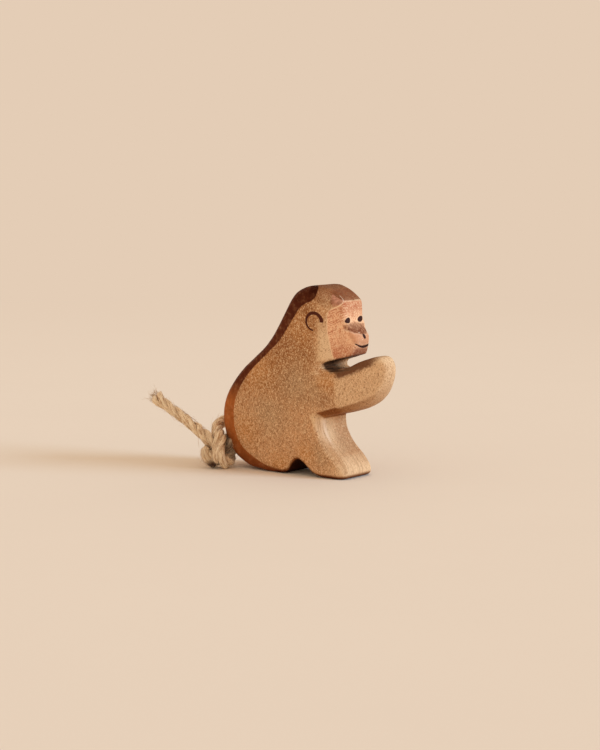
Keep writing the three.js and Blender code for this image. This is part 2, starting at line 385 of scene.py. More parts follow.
# Soft patches where the stain lies greyer, darker or warmer on the sides: (x, z, radius)
GREY_PATCHES = ((0, 38, 9), (-14, 24, 9), (10, 36, 6), (12, 9, 5))
SHADED_PATCHES = ((1.8, 62.6, 5.5), (-5, 55, 5), (4.5, 68.5, 4), (15, 33, 4), (8.6, 63.4, 4))
WARM_PATCHES = ((-27, 16, 7), (-20, 42, 7), (1, 62, 7), (15, 40, 5), (5, 9, 5), (-8, 4, 5))

# Where one look fades into another, from none of it to all of it, along x, y or z: first on the sides
UPPER_STAIN_HEIGHT = (24, 40)
UPPER_STAIN_FRONT = (13, 5)
CHEEK_FRONT = (9, 12.5)
CHEEK_TOP = (69, 56)
CHEEK_FOOT = (45, 50)
ARM_START = (19, 22)
HAND_REACH = (25, 38)
ELBOW_BACK = (18.6, 20)
ELBOW_FRONT = (34, 20)
ELBOW_HEIGHT = (29, 33)

# The same on the legs, the foot and the arch behind it
LEG_TOP = (27, 24.5)
LEG_CALM = (27, 23)
RINGS_TOP = (30, 27)
NEAR_LEG = (3, -7)
SHIN_HEIGHT = (12, 19)
FAR_LEG = (-2, 8)
FAR_LEG_FOOT = (3, 8)
TOE_HEIGHT = (8, 2.5)
TOE_FRONT = (14, 20)
BOARD_EDGE = (10.6, 9.6)
RIDGE_SIDE = (-2, -6)
RIDGE_FOOT = (11, 19)
RUMP_START = (-6, -12)
RUMP_RISES = 0.9
LOW_SHADE = (2.2, 0.5)
ARCH_HEIGHT = (10, 7.5)
ARCH_FRONT = (11, 8)
ARCH_BACK = (-20, -14)

# The same on the band, the head, the face and the gap
BAND_FADES = (76, 52)
BAND_REDDENS = (38, 27)
BAND_FOOT = (-6, 14)
CROWN_FADES = (71, 78.5)
CROWN_TOP = (76.6, 78.4)
CAP_SOFTENS = (73, 75.5)
BROW_FRONT = (18.6, 20)
BROW_HEIGHT = (64.5, 71)
JAW_HEIGHT = (58, 50)
SCRATCHED_BACK = (21.8, 20.4)
BRIDGE_TOP = (61, 64)
BRIDGE_RIM_TOP = (62.5, 61)
CHIN_HEIGHT = (54.2, 52.8)
CHIN_SIDE = (-5.6, -3.6)
FACE_CUT_BACK = (21.5, 19.5)
FACE_FRONT = (23.5, 24)
GAP_FRONT = (27, 15)
GAP_FAR_END = (8, -2)
GAP_NEAR_END = (-9.2, -6.8)
ARM_EDGE_FADES = (39, 32)


def color_property(name, description, default):
    """A colour that a user can change."""
    return FloatVectorProperty(
        name=name, description=description, subtype="COLOR", default=default, min=0, max=1,
    )


class WoodSettings(PropertyGroup):
    """Sizes and colours of the carved wood."""

    face_size: FloatProperty(
        name="Face size", description="Edge of the even faces that the carved solid is rebuilt with",
        default=0.4 * MM, min=0.3 * MM, max=2 * MM, precision=5, unit="LENGTH",
    )
    softening: IntProperty(
        name="Softening", description="How many times the knife-cut ridges are eased", default=9, min=0,
    )
    rounding: IntProperty(
        name="Rounding", description="How many more times the handled places are eased", default=36, min=0,
    )
    wave_height: FloatProperty(
        name="Knife waves", description="Height of the shallow waves that the knife leaves",
        default=0.07 * MM, precision=6, unit="LENGTH",
    )
    wood: color_property("Stained wood", "The sides' main colour", srgb(202, 152, 108))
    upper_wood: color_property(
        "Upper wood", "The darker stain on the upper back and the head", srgb(167, 112, 66),
    )
    grey_wood: color_property("Grey stain", "Where the stain lies greyer", srgb(184, 146, 108))
    warm_wood: color_property("Warm stain", "Where the stain lies warmer", srgb(200, 142, 88))
    pale_wood: color_property("Worn wood", "Where the stain is worn thin", srgb(238, 203, 160))
    pore: color_property("Pores", "Short dark flecks along the grain", srgb(124, 70, 32))
    band: color_property("Band over the head", "The dark stain where it is thickest", srgb(82, 36, 18))
    middle_band: color_property(
        "Band on the back", "The same stain between the shoulders", srgb(94, 45, 24),
    )
    low_band: color_property(
        "Band low on the back", "The same stain where it is worn and redder", srgb(170, 98, 48),
    )
    face: color_property("Face", "The terracotta of the face", srgb(247, 193, 150))
    pale_face: color_property(
        "Pale flecks on the face", "Where the wood shows through the terracotta", srgb(250, 212, 170),
    )
    red_face: color_property(
        "Red scratches", "Where the terracotta gathers in scratches", srgb(176, 92, 56),
    )
    # Painted light: the muzzle's sides are paler where they turn towards the front
    muzzle: color_property("Muzzle", "The paler sides of the muzzle", srgb(208, 146, 108))
    bridge: color_property(
        "Bridge of the nose", "The brown wedge between the eyes and the nose", srgb(114, 54, 26),
    )
    cap: color_property("Brow", "The brown over the brow", srgb(126, 68, 40))
    ink: color_property("Marks", "Eyes, nose and mouth", srgb(58, 28, 24))
    ear: color_property("Ears", "The rings drawn for the ears", srgb(84, 40, 26))
    # Burn and painted shade in the gap under the chin, and the black core of the grey stroke
    soot_and_gap_shade: color_property("Black stain", "The stain deepest in the gap under the chin", srgb(66, 42, 28))
    ash: color_property("Grey stroke", "The grey stroke across the gap's ends", srgb(112, 84, 60))
    # Brown stain and painted shade at the back of the gap
    umber: color_property("Brown stain", "The brown stain at the back of the gap", srgb(104, 66, 42))
    # Painted sheen on the flat cut beside the brow
    facet: color_property(
        "Brow's facet", "The cooler sheen on the flat cut beside the brow", srgb(208, 148, 120),
    )
    # Painted highlights on the brow's facet, the legs' ridge, the bridge's lower rim and beside the nostril
    shine: color_property(
        "Sharp edges", "Thin lines where a cut's edge catches the light", srgb(240, 212, 186),
    )
    # Brown stain with painted shade from the head, strongest beside the gap
    arm_edge_stain_and_shade: color_property(
        "Arm's edge", "The brown stain along the upper edge of the arm", srgb(98, 52, 26),
    )
    shade_tint: color_property(
        "Darker stain", "How the stain's darker patches dim the wood", (0.72, 0.62, 0.55),
    )
    # Painted shade in the arch between rump and foot
    arch_shade_tint: color_property(
        "Arch", "How dirt dims the arch between rump and foot", (0.18, 0.12, 0.09),
    )
    # Painted shade on the faces that look down and under the arm
    underside_shade_tint: color_property(
        "Undersides", "How the faces that look down are dimmed by dirt", (0.4, 0.235, 0.125),
    )
    # Painted shade on the far half of the legs' front
    leg_far_half_shade_tint: color_property(
        "Legs' far half", "How the legs' front is dimmed away from its worn ridge", (0.82, 0.77, 0.74),
    )
    crown_tint: color_property("Crown", "How the thin stain on the crown dims the wood", (0.5, 0.36, 0.28))
    # Painted shade along the edges that stand on the floor
    floor_edge_shade_tint: color_property(
        "Low edges", "How dirt dims the edges that stand on the floor", (0.42, 0.26, 0.16),
    )


class TwineSettings(PropertyGroup):
    """Sizes and colours of the twine tail."""

    diameter: FloatProperty(
        name="Diameter", description="Thickness of the twine", default=4.4 * MM, precision=5, unit="LENGTH",
    )
    lay: FloatProperty(
        name="Lay", description="Length of one full turn of a strand", default=19 * MM, precision=5,
        unit="LENGTH",
    )
    strands: IntProperty(name="Strands", description="Strands twisted together", default=3, min=2, max=5)
    loose_fibres: IntProperty(
        name="Loose fibres", description="Fibres that stand off the twine", default=900, min=0,
    )
    tip_fibres: IntProperty(
        name="Tip fibres", description="Fibres that fray from the cut end", default=170, min=0,
    )
    pale: color_property("Pale jute", "The fibres' light colour", srgb(252, 232, 198))
    brown: color_property("Brown jute", "The fibres' dark colour", srgb(178, 130, 82))
    # Painted shade in the gaps between the strands and on the knot
    hollow: color_property("Hollows", "The dark gaps between the strands", srgb(70, 38, 16))


class StageSettings(PropertyGroup):
    """The floor, the light and the camera."""

    backdrop: color_property("Backdrop", "The plain colour behind the figure", srgb(228, 205, 182))
    floor: color_property("Floor", "The floor's own colour", (0.868, 0.78, 0.668))
    key: color_property(
        "Key colour", "Colour of the key light, cooler than the surround", (0.487, 0.68, 0.88),
    )
    key_strength: FloatProperty(name="Key strength", description="Strength of the key light", default=2.5)
    key_height: FloatProperty(
        name="Key height", description="How high the key light stands above the floor, as an angle",
        default=math.radians(22), subtype="ANGLE",
    )
    key_turn: FloatProperty(
        name="Key turn", description="How far round to the figure's left of its face the key light stands",
        default=math.radians(19), subtype="ANGLE",
    )
    key_spread: FloatProperty(
        name="Key spread", description="How wide the key light looks from the figure",
        default=math.radians(24), subtype="ANGLE",
    )


# Lines and frames in space


def line_through(places, step):
    """A smooth line through the places, as points about a step apart."""
    places = np.array(places, float)
    before = 2 * places[:1] - places[1:2]
    after = 2 * places[-1:] - places[-2:-1]
    held = np.vstack([before, places, after])
    line = []
    for first, start, end, last in zip(held, held[1:], held[2:], held[3:]):
        spans = [np.linalg.norm(b - a) ** 0.5 for a, b in zip((first, start, end), (start, end, last))]
        times = np.cumsum([0, *spans])
        for t in np.linspace(times[1], times[2], POINTS_PER_SPAN, endpoint=False):
            a = part_way(first, start, times[0], times[1], t)
            b = part_way(start, end, times[1], times[2], t)
            c = part_way(end, last, times[2], times[3], t)
            ab = part_way(a, b, times[0], times[2], t)
            bc = part_way(b, c, times[1], times[3], t)
            line.append(part_way(ab, bc, times[1], times[2], t))
    line.append(places[-1])
    return evenly(np.array(line), step)


def part_way(a, b, start, end, t):
    """The point that is reached at time t on the way from a to b, between two times."""
    share = (t - start) / (end - start)
    return a + (b - a) * share


def evenly(line, step):
    """The same line with its points evenly spaced."""
    reach = reach_along(line)
    places = np.linspace(0, reach[-1], max(2, round(reach[-1] / step) + 1))
    return np.stack([np.interp(places, reach, line[:, axis]) for axis in range(line.shape[1])], axis=1)


def reach_along(line):
    """How far along the line each of its points is."""
    return np.concatenate([[0], np.cumsum(np.linalg.norm(np.diff(line, axis=0), axis=1))])


def carried_frames(line):
    """The direction at each point of a line, and two more square to it that turn no more than it does."""
    ahead = np.gradient(line, axis=0)
    ahead /= np.linalg.norm(ahead, axis=1, keepdims=True)
    side = np.cross(ahead[0], (0, 0, 1))
    sides = []
    for direction in ahead:
        side = side - direction * (side @ direction)
        side = side / np.linalg.norm(side)
        sides.append(side)
    sides = np.array(sides)
    return ahead, sides, np.cross(ahead, sides)


def depth_inside(places, outline):
    """How far each (x, z) place lies inside a closed outline. Outside, the depth is negative."""
    corners = np.array(outline, float)
    nearest = np.full(len(places), np.inf)
    inside = np.zeros(len(places), bool)
    for start, end in zip(corners, np.roll(corners, -1, axis=0)):
        along = end - start
        offset = places - start
        share = np.clip(offset @ along / (along @ along), 0, 1)
        nearest = np.minimum(nearest, np.linalg.norm(offset - share[:, None] * along, axis=1))
        spans = (start[1] > places[:, 1]) != (end[1] > places[:, 1])
        rise = along[1] if along[1] else 1
        crossing = start[0] + along[0] * (places[:, 1] - start[1]) / rise
        inside ^= spans & (places[:, 0] < crossing)
    return np.where(inside, nearest, -nearest)


def smooth_outline(border, rest):
    """A border drawn smoothly through its places, closed by the straight rest."""
    return [*map(tuple, line_through(border, 0.8)), *rest]


# Meshes


def new_object(name, mesh, material):
    """Adds the mesh to the scene as a piece that rides on the frame."""
    piece = bpy.data.objects.new(name, mesh)
    bpy.context.scene.collection.objects.link(piece)
    mesh.materials.clear()
    mesh.materials.append(material)
    mesh.polygons.foreach_set("use_smooth", [True] * len(mesh.polygons))
    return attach(piece, "root")


def store(mesh, name, values):
    """Keeps one number, or one vector, for each vertex."""
    values = np.asarray(values, np.float32)
    kind, key = ("FLOAT_VECTOR", "vector") if values.ndim == 2 else ("FLOAT", "value")
    mesh.attributes.new(name, kind, "POINT").data.foreach_set(key, values.ravel())


def read_places(mesh):
    """The mesh's vertices, in millimetres."""
    places = np.empty(len(mesh.vertices) * 3)
    mesh.vertices.foreach_get("co", places)
    return places.reshape(-1, 3) / MM


def write_places(mesh, places):
    """Moves the mesh's vertices to places in millimetres."""
    mesh.vertices.foreach_set("co", (places * MM).ravel())
    mesh.update()


def tube_faces(rings, around, first):
    """The faces of a tube whose vertices are laid ring by ring, with a face over each end."""
    faces = []
    for ring in range(rings - 1):
        base = first + ring * around
        for k in range(around):
            after = (k + 1) % around
            faces.append((base + k, base + after, base + around + after, base + around + k))
    faces.append(tuple(first + k for k in reversed(range(around))))
    faces.append(tuple(first + (rings - 1) * around + k for k in range(around)))
    return faces


def mesh_of(name, vertices, faces):
    """A mesh from places in millimetres."""
    mesh = bpy.data.meshes.new(name)
    mesh.from_pydata((np.asarray(vertices) * MM).tolist(), [], faces)
    mesh.update()
    return mesh


# Wiring of materials


class Wiring:
    """Adds nodes to one tree and joins them, so that a material reads as a list of steps.

    Noise and groups are looked up at its place, in millimetres.
    """

    def __init__(self, tree, place=None):
        self.tree = tree
        self.place = place

    def at(self, place):
        """The same wiring, looked up at another place."""
        return Wiring(self.tree, place)

    def node(self, kind, options=None, **inputs):
        """A new node, with its options set and its inputs fed."""
        made = self.tree.nodes.new(kind)
        for name, value in (options or {}).items():
            setattr(made, name, value)
        for name, value in inputs.items():
            self.feed(made.inputs[name.replace("_", " ")], value)
        return made

    def feed(self, socket, value):
        """Joins the socket to another one, or gives it a value."""
        if isinstance(value, bpy.types.NodeSocket):
            self.tree.links.new(value, socket)
        elif socket.type == "RGBA" and len(value) == 3:
            socket.default_value = (*value, 1)
        else:
            socket.default_value = value

    def calculate(self, operation, *values):
        """One step of arithmetic. The methods below name the steps that are used most."""
        made = self.node("ShaderNodeMath", {"operation": operation})
        for socket, value in zip(made.inputs, values):
            self.feed(socket, value)
        return made.outputs[0]

    def times(self, first, *others):
        for other in others:
            first = self.calculate("MULTIPLY", first, other)
        return first

    def most(self, first, *others):
        for other in others:
            first = self.calculate("MAXIMUM", first, other)
        return first

    def minus(self, first, second):
        return self.calculate("SUBTRACT", first, second)

    def scaled(self, value, factor, shift):
        """The value times the factor, plus the shift."""
        return self.calculate("MULTIPLY_ADD", value, factor, shift)

    def unsigned(self, value):
        return self.calculate("ABSOLUTE", value)

    def move(self, operation, first, second):
        made = self.node("ShaderNodeVectorMath", {"operation": operation})
        self.feed(made.inputs[0], first)
        self.feed(made.inputs[1], second)
        return made.outputs[0]

    def length(self, place):
        return self.node("ShaderNodeVectorMath", {"operation": "LENGTH"}, Vector=place).outputs["Value"]

    def turned(self, place, axis, angle):
        made = self.node("ShaderNodeVectorRotate", {"rotation_type": axis}, Vector=place, Angle=angle)
        return made.outputs[0]

    def blend(self, share, first, second, mode="MIX"):
        made = self.node("ShaderNodeMix", {"data_type": "RGBA", "blend_type": mode})
        self.feed(made.inputs["Factor"], share)
        self.feed(made.inputs[6], first)
        self.feed(made.inputs[7], second)
        return made.outputs[2]

    def ramp(self, value, low, high, start=0, end=1):
        """Goes smoothly from start, where the value is low, to end, where it is high."""
        made = self.node("ShaderNodeMapRange", {"interpolation_type": "SMOOTHSTEP"})
        for name, given in (
            ("Value", value), ("From Min", low), ("From Max", high), ("To Min", start), ("To Max", end),
        ):
            self.feed(made.inputs[name], given)
        return made.outputs[0]

    def noise(self, scale, detail, roughness=0.5):
        made = self.node(
            "ShaderNodeTexNoise", Vector=self.place, Scale=scale, Detail=detail, Roughness=roughness,
        )
        return made.outputs[0]

    def read(self, name, output="Fac"):
        """The number, or with "Vector" the place, that the mesh keeps under this name."""
        return self.node("ShaderNodeAttribute", {"attribute_name": name}).outputs[output]

    def millimetres(self):
        """The place on the piece, in millimetres."""
        place = self.node("ShaderNodeTexCoord").outputs["Object"]
        return self.move("MULTIPLY", place, (1 / MM,) * 3)

    def axes(self):
        """The place's three parts."""
        return self.node("ShaderNodeSeparateXYZ", Vector=self.place).outputs[:3]

    def use(self, build, **inputs):
        """The output of a shared node group, which is built the first time that it is asked for."""
        name, output, sockets, fill = build()
        group = bpy.data.node_groups.get(name) or new_group(name, output, sockets, fill)
        return self.node("ShaderNodeGroup", {"node_tree": group}, Place=self.place, **inputs).outputs[0]


# Node groups that the materials share. Each gives its name, its output, its inputs with their
# defaults besides the place, and the function that fills it.


def new_group(name, output, sockets, fill):
    """A node group with one output, filled by a function of its wiring and its inputs."""
    tree = bpy.data.node_groups.new(name, "ShaderNodeTree")
    tree.interface.new_socket("Place", in_out="INPUT", socket_type="NodeSocketVector")
    for label, (kind, default) in sockets.items():
        socket = tree.interface.new_socket(label, in_out="INPUT", socket_type=kind)
        socket.default_value = default
    tree.interface.new_socket(output[0], in_out="OUTPUT", socket_type=output[1])
    wiring = Wiring(tree)
    given = wiring.node("NodeGroupInput").outputs
    result = fill(wiring.at(given["Place"]), given)
    wiring.feed(wiring.node("NodeGroupOutput").inputs[0], result)
    return tree


def painted_edge():
    """A mask with a hand-painted edge, from how deep inside its border a place lies."""
    def fill(wiring, given):
        wander = wiring.times(wiring.minus(wiring.noise(1.1, 3), 0.5), given["Raggedness"])
        depth = wiring.scaled(wander, 2, given["Depth"])
        return wiring.ramp(depth, wiring.times(given["Softness"], -1), given["Softness"])

    return "Painted edge", ("Mask", "NodeSocketFloat"), {
        "Depth": ("NodeSocketFloat", 0),
        "Raggedness": ("NodeSocketFloat", 0.2),
        "Softness": ("NodeSocketFloat", 0.15),
    }, fill


def fibres():
    """Streaks that run along one direction: the place is stretched, then looked up in noise."""
    def fill(wiring, given):
        stretched = wiring.move("MULTIPLY", wiring.place, given["Stretch"])
        return wiring.at(stretched).noise(1, given["Detail"], 0.6)

    return "Fibres", ("Streaks", "NodeSocketFloat"), {
        "Stretch": ("NodeSocketVector", (1, 1, 1)),
        "Detail": ("NodeSocketFloat", 3),
    }, fill


def uneven_tone():
    """A colour that is lighter and darker in soft patches."""
    def fill(wiring, given):
        patches = wiring.noise(given["Patches per mm"], 3, 0.55)
        tone = wiring.scaled(wiring.times(wiring.minus(patches, 0.5), given["Strength"]), 2, 1)
        grey = wiring.node("ShaderNodeCombineXYZ", X=tone, Y=tone, Z=tone)
        return wiring.move("MULTIPLY", given["Color"], grey.outputs[0])

    return "Uneven tone", ("Color", "NodeSocketColor"), {
        "Color": ("NodeSocketColor", (1, 1, 1, 1)),
        "Patches per mm": ("NodeSocketFloat", 0.1),
        "Strength": ("NodeSocketFloat", 0.2),
    }, fill


def oval_mark():
    """The mask of one oval dot on the front of the face, turned by an angle."""
    def fill(wiring, given):
        offset = wiring.move("SUBTRACT", wiring.place, given["Middle"])
        turned = wiring.turned(offset, "X_AXIS", given["Turn"])
        reach = wiring.length(wiring.move("DIVIDE", turned, given["Half size"]))
        high = wiring.calculate("ADD", given["Softness"], 1)
        return wiring.ramp(reach, wiring.minus(1, given["Softness"]), high, 1, 0)

    return "Oval mark", ("Mask", "NodeSocketFloat"), {
        "Middle": ("NodeSocketVector", (0, 0, 0)),
        "Half size": ("NodeSocketVector", (1, 1, 1)),
        "Turn": ("NodeSocketFloat", 0),
        "Softness": ("NodeSocketFloat", 0.12),
    }, fill


def painted(wiring, depth_name, raggedness, softness):
    """Where paint lies inside the border whose depth the mesh keeps under that name."""
    depth = wiring.read(depth_name)
    return wiring.use(painted_edge, Depth=depth, Raggedness=raggedness, Softness=softness)


def streaks(wiring, stretch, detail):
    """Streaks, as noise stretched by that much along each axis."""
    return wiring.use(fibres, Stretch=stretch, Detail=detail)


def uneven(wiring, color, patches, strength):
    """The colour in lighter and darker patches, so many to the millimetre."""
    return wiring.use(uneven_tone, Color=color, Patches_per_mm=patches, Strength=strength)


def ovals(wiring, marks, size, softness):
    """The mask of several ovals, each given by its middle, half sizes and turn, and all made larger."""
    together = 0
    for middle, half_sizes, turn in marks:
        larger = tuple(half * size for half in half_sizes)
        mask = wiring.use(oval_mark, Middle=middle, Half_size=larger, Turn=turn, Softness=softness)
        together = wiring.most(mask, together)
    return together


# Materials


def new_material(name):
    """An empty material, its wiring and its shader."""
    material = bpy.data.materials.new(name)
    material.use_nodes = True
    material.node_tree.nodes.clear()
    wiring = Wiring(material.node_tree)
    shader = wiring.node("ShaderNodeBsdfPrincipled")
    wiring.node("ShaderNodeOutputMaterial", Surface=shader.outputs[0])
    return material, wiring, shader


def dress(wiring, shader, color, roughness, height, relief, strength=1):
    """Gives the shader its colour and roughness, and a bump whose relief is in millimetres."""
    wiring.feed(shader.inputs["Base Color"], color)
    wiring.feed(shader.inputs["Roughness"], roughness)
    bump = wiring.node("ShaderNodeBump", Strength=strength, Distance=relief * MM, Height=height)
    wiring.feed(shader.inputs["Normal"], bump.outputs[0])


def painted_wood(settings):
    """Stained and painted whittled wood with painted light and shade, from the bare wood up to the drawn
    marks.
    """
    material, wiring, shader = new_material("painted_wood")
    wiring.place = wiring.millimetres()
    flecks = flecked(wiring)
    pores = wiring.ramp(streaks(wiring, (3.8, 3.8, 1.9), 2), 0.6, 0.7)
    color = bare_wood(wiring, settings)
    color = worn_wood(wiring, settings, flecks, color)
    color = grained_wood(wiring, settings, flecks, pores, color)
    color = painted_light_and_shade(wiring, settings, color)
    color, band = stained_back(wiring, settings, color)
    color = stained_head(wiring, settings, flecks, color)
    color, face = painted_face(wiring, settings, flecks, color)
    color = dark_cuts(wiring, settings, color)
    rims = ovals(wiring, EYES, EYE_RIM, 0.2)
    color = wiring.blend(wiring.times(rims, 0.35), color, settings.pale_face)
    marks = face_marks(wiring)
    color = wiring.blend(marks, color, settings.ink)
    ears = ear_rings(wiring)
    color = wiring.blend(ears, color, settings.ear)
    marks = wiring.most(marks, ears)

    # Paint and thick stain are smoother than the bare wood, and the thick stain hardly shines
    rough = wiring.ramp(wiring.noise(0.8, 3), 0.3, 0.7, 0.5, 0.64)
    rough = wiring.scaled(wiring.most(band, marks), -0.1, rough)
    gloss = wiring.ramp(wiring.read("band_depth"), -0.2, 0.2, 0.07, 0.03)
    wiring.feed(shader.inputs["Specular IOR Level"], gloss)

    # Pores and drawn marks are pressed in, and the face is scored
    height = wiring.scaled(pores, -0.5, flecks)
    height = wiring.scaled(wiring.times(scratches(wiring), face), 0.4, height)
    height = wiring.scaled(marks, -0.5, height)
    dress(wiring, shader, color, rough, height, relief=0.04)
    return material


def flecked(wiring):
    """Fine flecks of mixed sizes, stretched a little along the upright grain."""
    coarse = streaks(wiring, (1.2, 1.2, 0.75), 4)
    fine = streaks(wiring, (3.2, 3.2, 1.5), 3)
    both = wiring.scaled(fine, 1.15, wiring.times(coarse, 0.5))
    return wiring.minus(both, 0.325)


def growth_rings(wiring):
    """Growth rings, nearly parallel to the board's sides, so that they show as lines on its edges."""
    return wiring.ramp(streaks(wiring, (0.06, 1.9, 0.06), 2), 0.5, 0.62)


def between_sides(wiring):
    """The mask of the board's edges, which are neither of its two flat sides."""
    return wiring.ramp(wiring.unsigned(wiring.axes()[1]), *BOARD_EDGE)


def scratches(wiring):
    """Fine knife scratches that cross each other on the face."""
    masks = []
    for angle, stretch, strength in SCRATCHES:
        turned = wiring.at(wiring.turned(wiring.place, "Y_AXIS", angle))
        masks.append(wiring.ramp(streaks(turned, stretch, 2), 0.52, 0.66, 0, strength))
    return wiring.most(*masks)


def bare_wood(wiring, settings):
    """The stained wood of the sides, in soft patches."""
    x, _, z = wiring.axes()
    upper = wiring.times(wiring.ramp(z, *UPPER_STAIN_HEIGHT), wiring.ramp(x, *UPPER_STAIN_FRONT))
    color = wiring.blend(upper, settings.wood, settings.upper_wood)
    color = wiring.blend(wiring.read("grey_patch"), color, settings.grey_wood)
    color = wiring.blend(wiring.read("warm_patch"), color, settings.warm_wood)
    shaded = wiring.times(wiring.read("shaded_patch"), 0.75)
    color = wiring.blend(shaded, color, settings.shade_tint, "MULTIPLY")
    color = uneven(wiring, color, patches=0.12, strength=0.2)
    return uneven(wiring, color, patches=0.55, strength=0.3)


def worn_wood(wiring, settings, flecks, color):
    """Paler where hands rub it, along the cheek, on the elbow and on the front of the legs. The legs' near
    half is also partly painted light, and their far half gets painted shade.
    """
    x, y, z = wiring.axes()
    cheek = wiring.times(
        wiring.ramp(x, *CHEEK_FRONT), wiring.ramp(z, *CHEEK_TOP), wiring.ramp(z, *CHEEK_FOOT, 0, 0.85),
    )
    hand = wiring.most(wiring.ramp(x, *ARM_START, 0, 0.5), wiring.ramp(x, *HAND_REACH, 0, 0.55))
    elbow = wiring.times(
        wiring.ramp(x, *ELBOW_BACK), wiring.ramp(x, *ELBOW_FRONT), wiring.ramp(z, *ELBOW_HEIGHT),
        wiring.ramp(flecks, 0.35, 0.65, 0.25, 0.8),
    )
    leg = wiring.times(wiring.ramp(wiring.read("leg_front"), -0.6, 0.8), wiring.ramp(z, *LEG_TOP))
    # The near half of the legs' front is paler: worn wood and partly painted light
    lit_and_worn_leg_near_half = wiring.times(
        leg, wiring.ramp(y, *NEAR_LEG, 0, 0.75), wiring.ramp(z, *SHIN_HEIGHT, 0.3, 1),
    )
    color = wiring.blend(wiring.most(cheek, hand, lit_and_worn_leg_near_half, elbow), color, settings.pale_wood)
    toe = wiring.times(wiring.ramp(z, *TOE_HEIGHT), wiring.ramp(x, *TOE_FRONT), 0.5)
    color = wiring.blend(toe, color, settings.pale_wood)
    # Painted shade on the far half of the legs' front
    shaded_leg_far_half = wiring.times(leg, wiring.ramp(y, *FAR_LEG), wiring.ramp(z, *FAR_LEG_FOOT))
    return wiring.blend(shaded_leg_far_half, color, settings.leg_far_half_shade_tint, "MULTIPLY")


def grained_wood(wiring, settings, flecks, pores, color):
    """Growth rings on the legs, then flecks and pores, fewer on the legs' front, and worn ridges."""
    z = wiring.axes()[2]
    on_edge = between_sides(wiring)
    rings = wiring.times(growth_rings(wiring), on_edge, wiring.ramp(z, *RINGS_TOP), 0.3)
    color = wiring.blend(rings, color, settings.pore)
    calm = wiring.times(on_edge, wiring.ramp(z, *LEG_CALM), 0.35)
    flecks = wiring.scaled(wiring.minus(0.5, flecks), calm, flecks)
    pores = wiring.times(pores, wiring.minus(1, calm))
    color = wiring.blend(wiring.ramp(flecks, 0.5, 0.67, 0, 0.95), color, settings.pale_wood)
    color = wiring.blend(wiring.ramp(flecks, 0.47, 0.27, 0, 0.75), color, settings.pore)
    color = wiring.blend(wiring.times(pores, 0.6), color, settings.pore)
    wear = wiring.times(wiring.ramp(wiring.read("ridge"), 0.9, 0.1), wiring.ramp(flecks, 0.4, 0.6), 0.6)
    return wiring.blend(wear, color, settings.pale_wood)


def painted_light_and_shade(wiring, settings, wood):
    """Painted light and shade: a highlight on the legs' ridge, and shade on the faces that look down, along
    the low edges and in the arch.
    """
    x, y, z = wiring.axes()
    on_edge = between_sides(wiring)
    # Painted highlight along the near side of the legs' ridge, broken by the growth rings
    ridge = wiring.times(
        wiring.ramp(wiring.read("ridge"), 3, 0.1), wiring.ramp(y, *RIDGE_SIDE), on_edge,
        wiring.ramp(z, *LEG_CALM), wiring.ramp(z, *RIDGE_FOOT),
        wiring.scaled(growth_rings(wiring), -0.7, 1), 0.6,
    )
    color = wiring.blend(ridge, wood, settings.shine)
    # Painted shade on the faces that look down and tucked under the arm
    color = wiring.blend(wiring.read("shade_below"), color, settings.underside_shade_tint, "MULTIPLY")
    # Painted shade along the edges that stand on the floor, reaching higher under the rump
    height = wiring.scaled(wiring.ramp(x, *RUMP_START), -RUMP_RISES, z)
    color = wiring.blend(wiring.ramp(height, *LOW_SHADE), color, settings.floor_edge_shade_tint, "MULTIPLY")
    # Painted shade in the arch between rump and foot
    arch = wiring.times(
        on_edge, wiring.ramp(z, *ARCH_HEIGHT), wiring.ramp(x, *ARCH_FRONT), wiring.ramp(x, *ARCH_BACK),
    )
    return wiring.blend(arch, color, settings.arch_shade_tint, "MULTIPLY")


def stained_back(wiring, settings, wood):
    """The dark band along the back. It is darkest over the head and redder low on the back."""
    z = wiring.axes()[2]
    band = painted(wiring, "band_depth", 0.3, 0.2)
    color = wiring.blend(wiring.ramp(z, *BAND_FADES), settings.band, settings.middle_band)
    low = wiring.times(wiring.ramp(z, *BAND_REDDENS), wiring.ramp(z, *BAND_FOOT))
    color = wiring.blend(low, color, settings.low_band)
    color = uneven(wiring, color, patches=0.25, strength=0.3)
    color = uneven(wiring, color, patches=1.2, strength=0.25)
    thin = wiring.ramp(wiring.noise(0.5, 4), 0.45, 0.75, 0, 0.2)
    color = wiring.blend(thin, color, wood)
    return wiring.blend(band, wood, color), band


def stained_head(wiring, settings, flecks, wood):
    """The thin brown stain on the crown, the thicker one over the brow, a painted sheen on the facet beside
    it and a painted highlight along the facet's edge.
    """
    z = wiring.axes()[2]
    crown = wiring.times(painted(wiring, "crown_depth", 1.2, 1.5), wiring.ramp(z, *CROWN_FADES, 0.35, 0.95))
    color = wiring.blend(crown, wood, settings.crown_tint, "MULTIPLY")
    top = wiring.times(crown, wiring.ramp(z, *CROWN_TOP, 0, 0.6))
    color = wiring.blend(top, color, settings.crown_tint, "MULTIPLY")
    cap = painted(wiring, "cap_depth", 1, wiring.ramp(z, *CAP_SOFTENS, 0.7, 1.6))
    cap = wiring.times(cap, wiring.ramp(flecks, 0.3, 0.6, 1, 0.7))
    cap_color = uneven(wiring, settings.cap, patches=0.45, strength=0.4)
    cap_color = uneven(wiring, cap_color, patches=1.8, strength=0.45)
    color = wiring.blend(cap, color, cap_color)
    # Painted sheen on the brow's facet
    sheen = wiring.ramp(wiring.noise(0.9, 3), 0.35, 0.65, 0.3, 0.9)
    facet = wiring.times(painted(wiring, "facet_depth", 0.15, 0.2), sheen)
    color = wiring.blend(facet, color, settings.facet)
    # Painted highlight where the facet's edge catches the light
    shine = wiring.ramp(wiring.read("shine_reach"), 0.3, 0.08, 0, 0.65)
    return wiring.blend(shine, color, settings.shine)


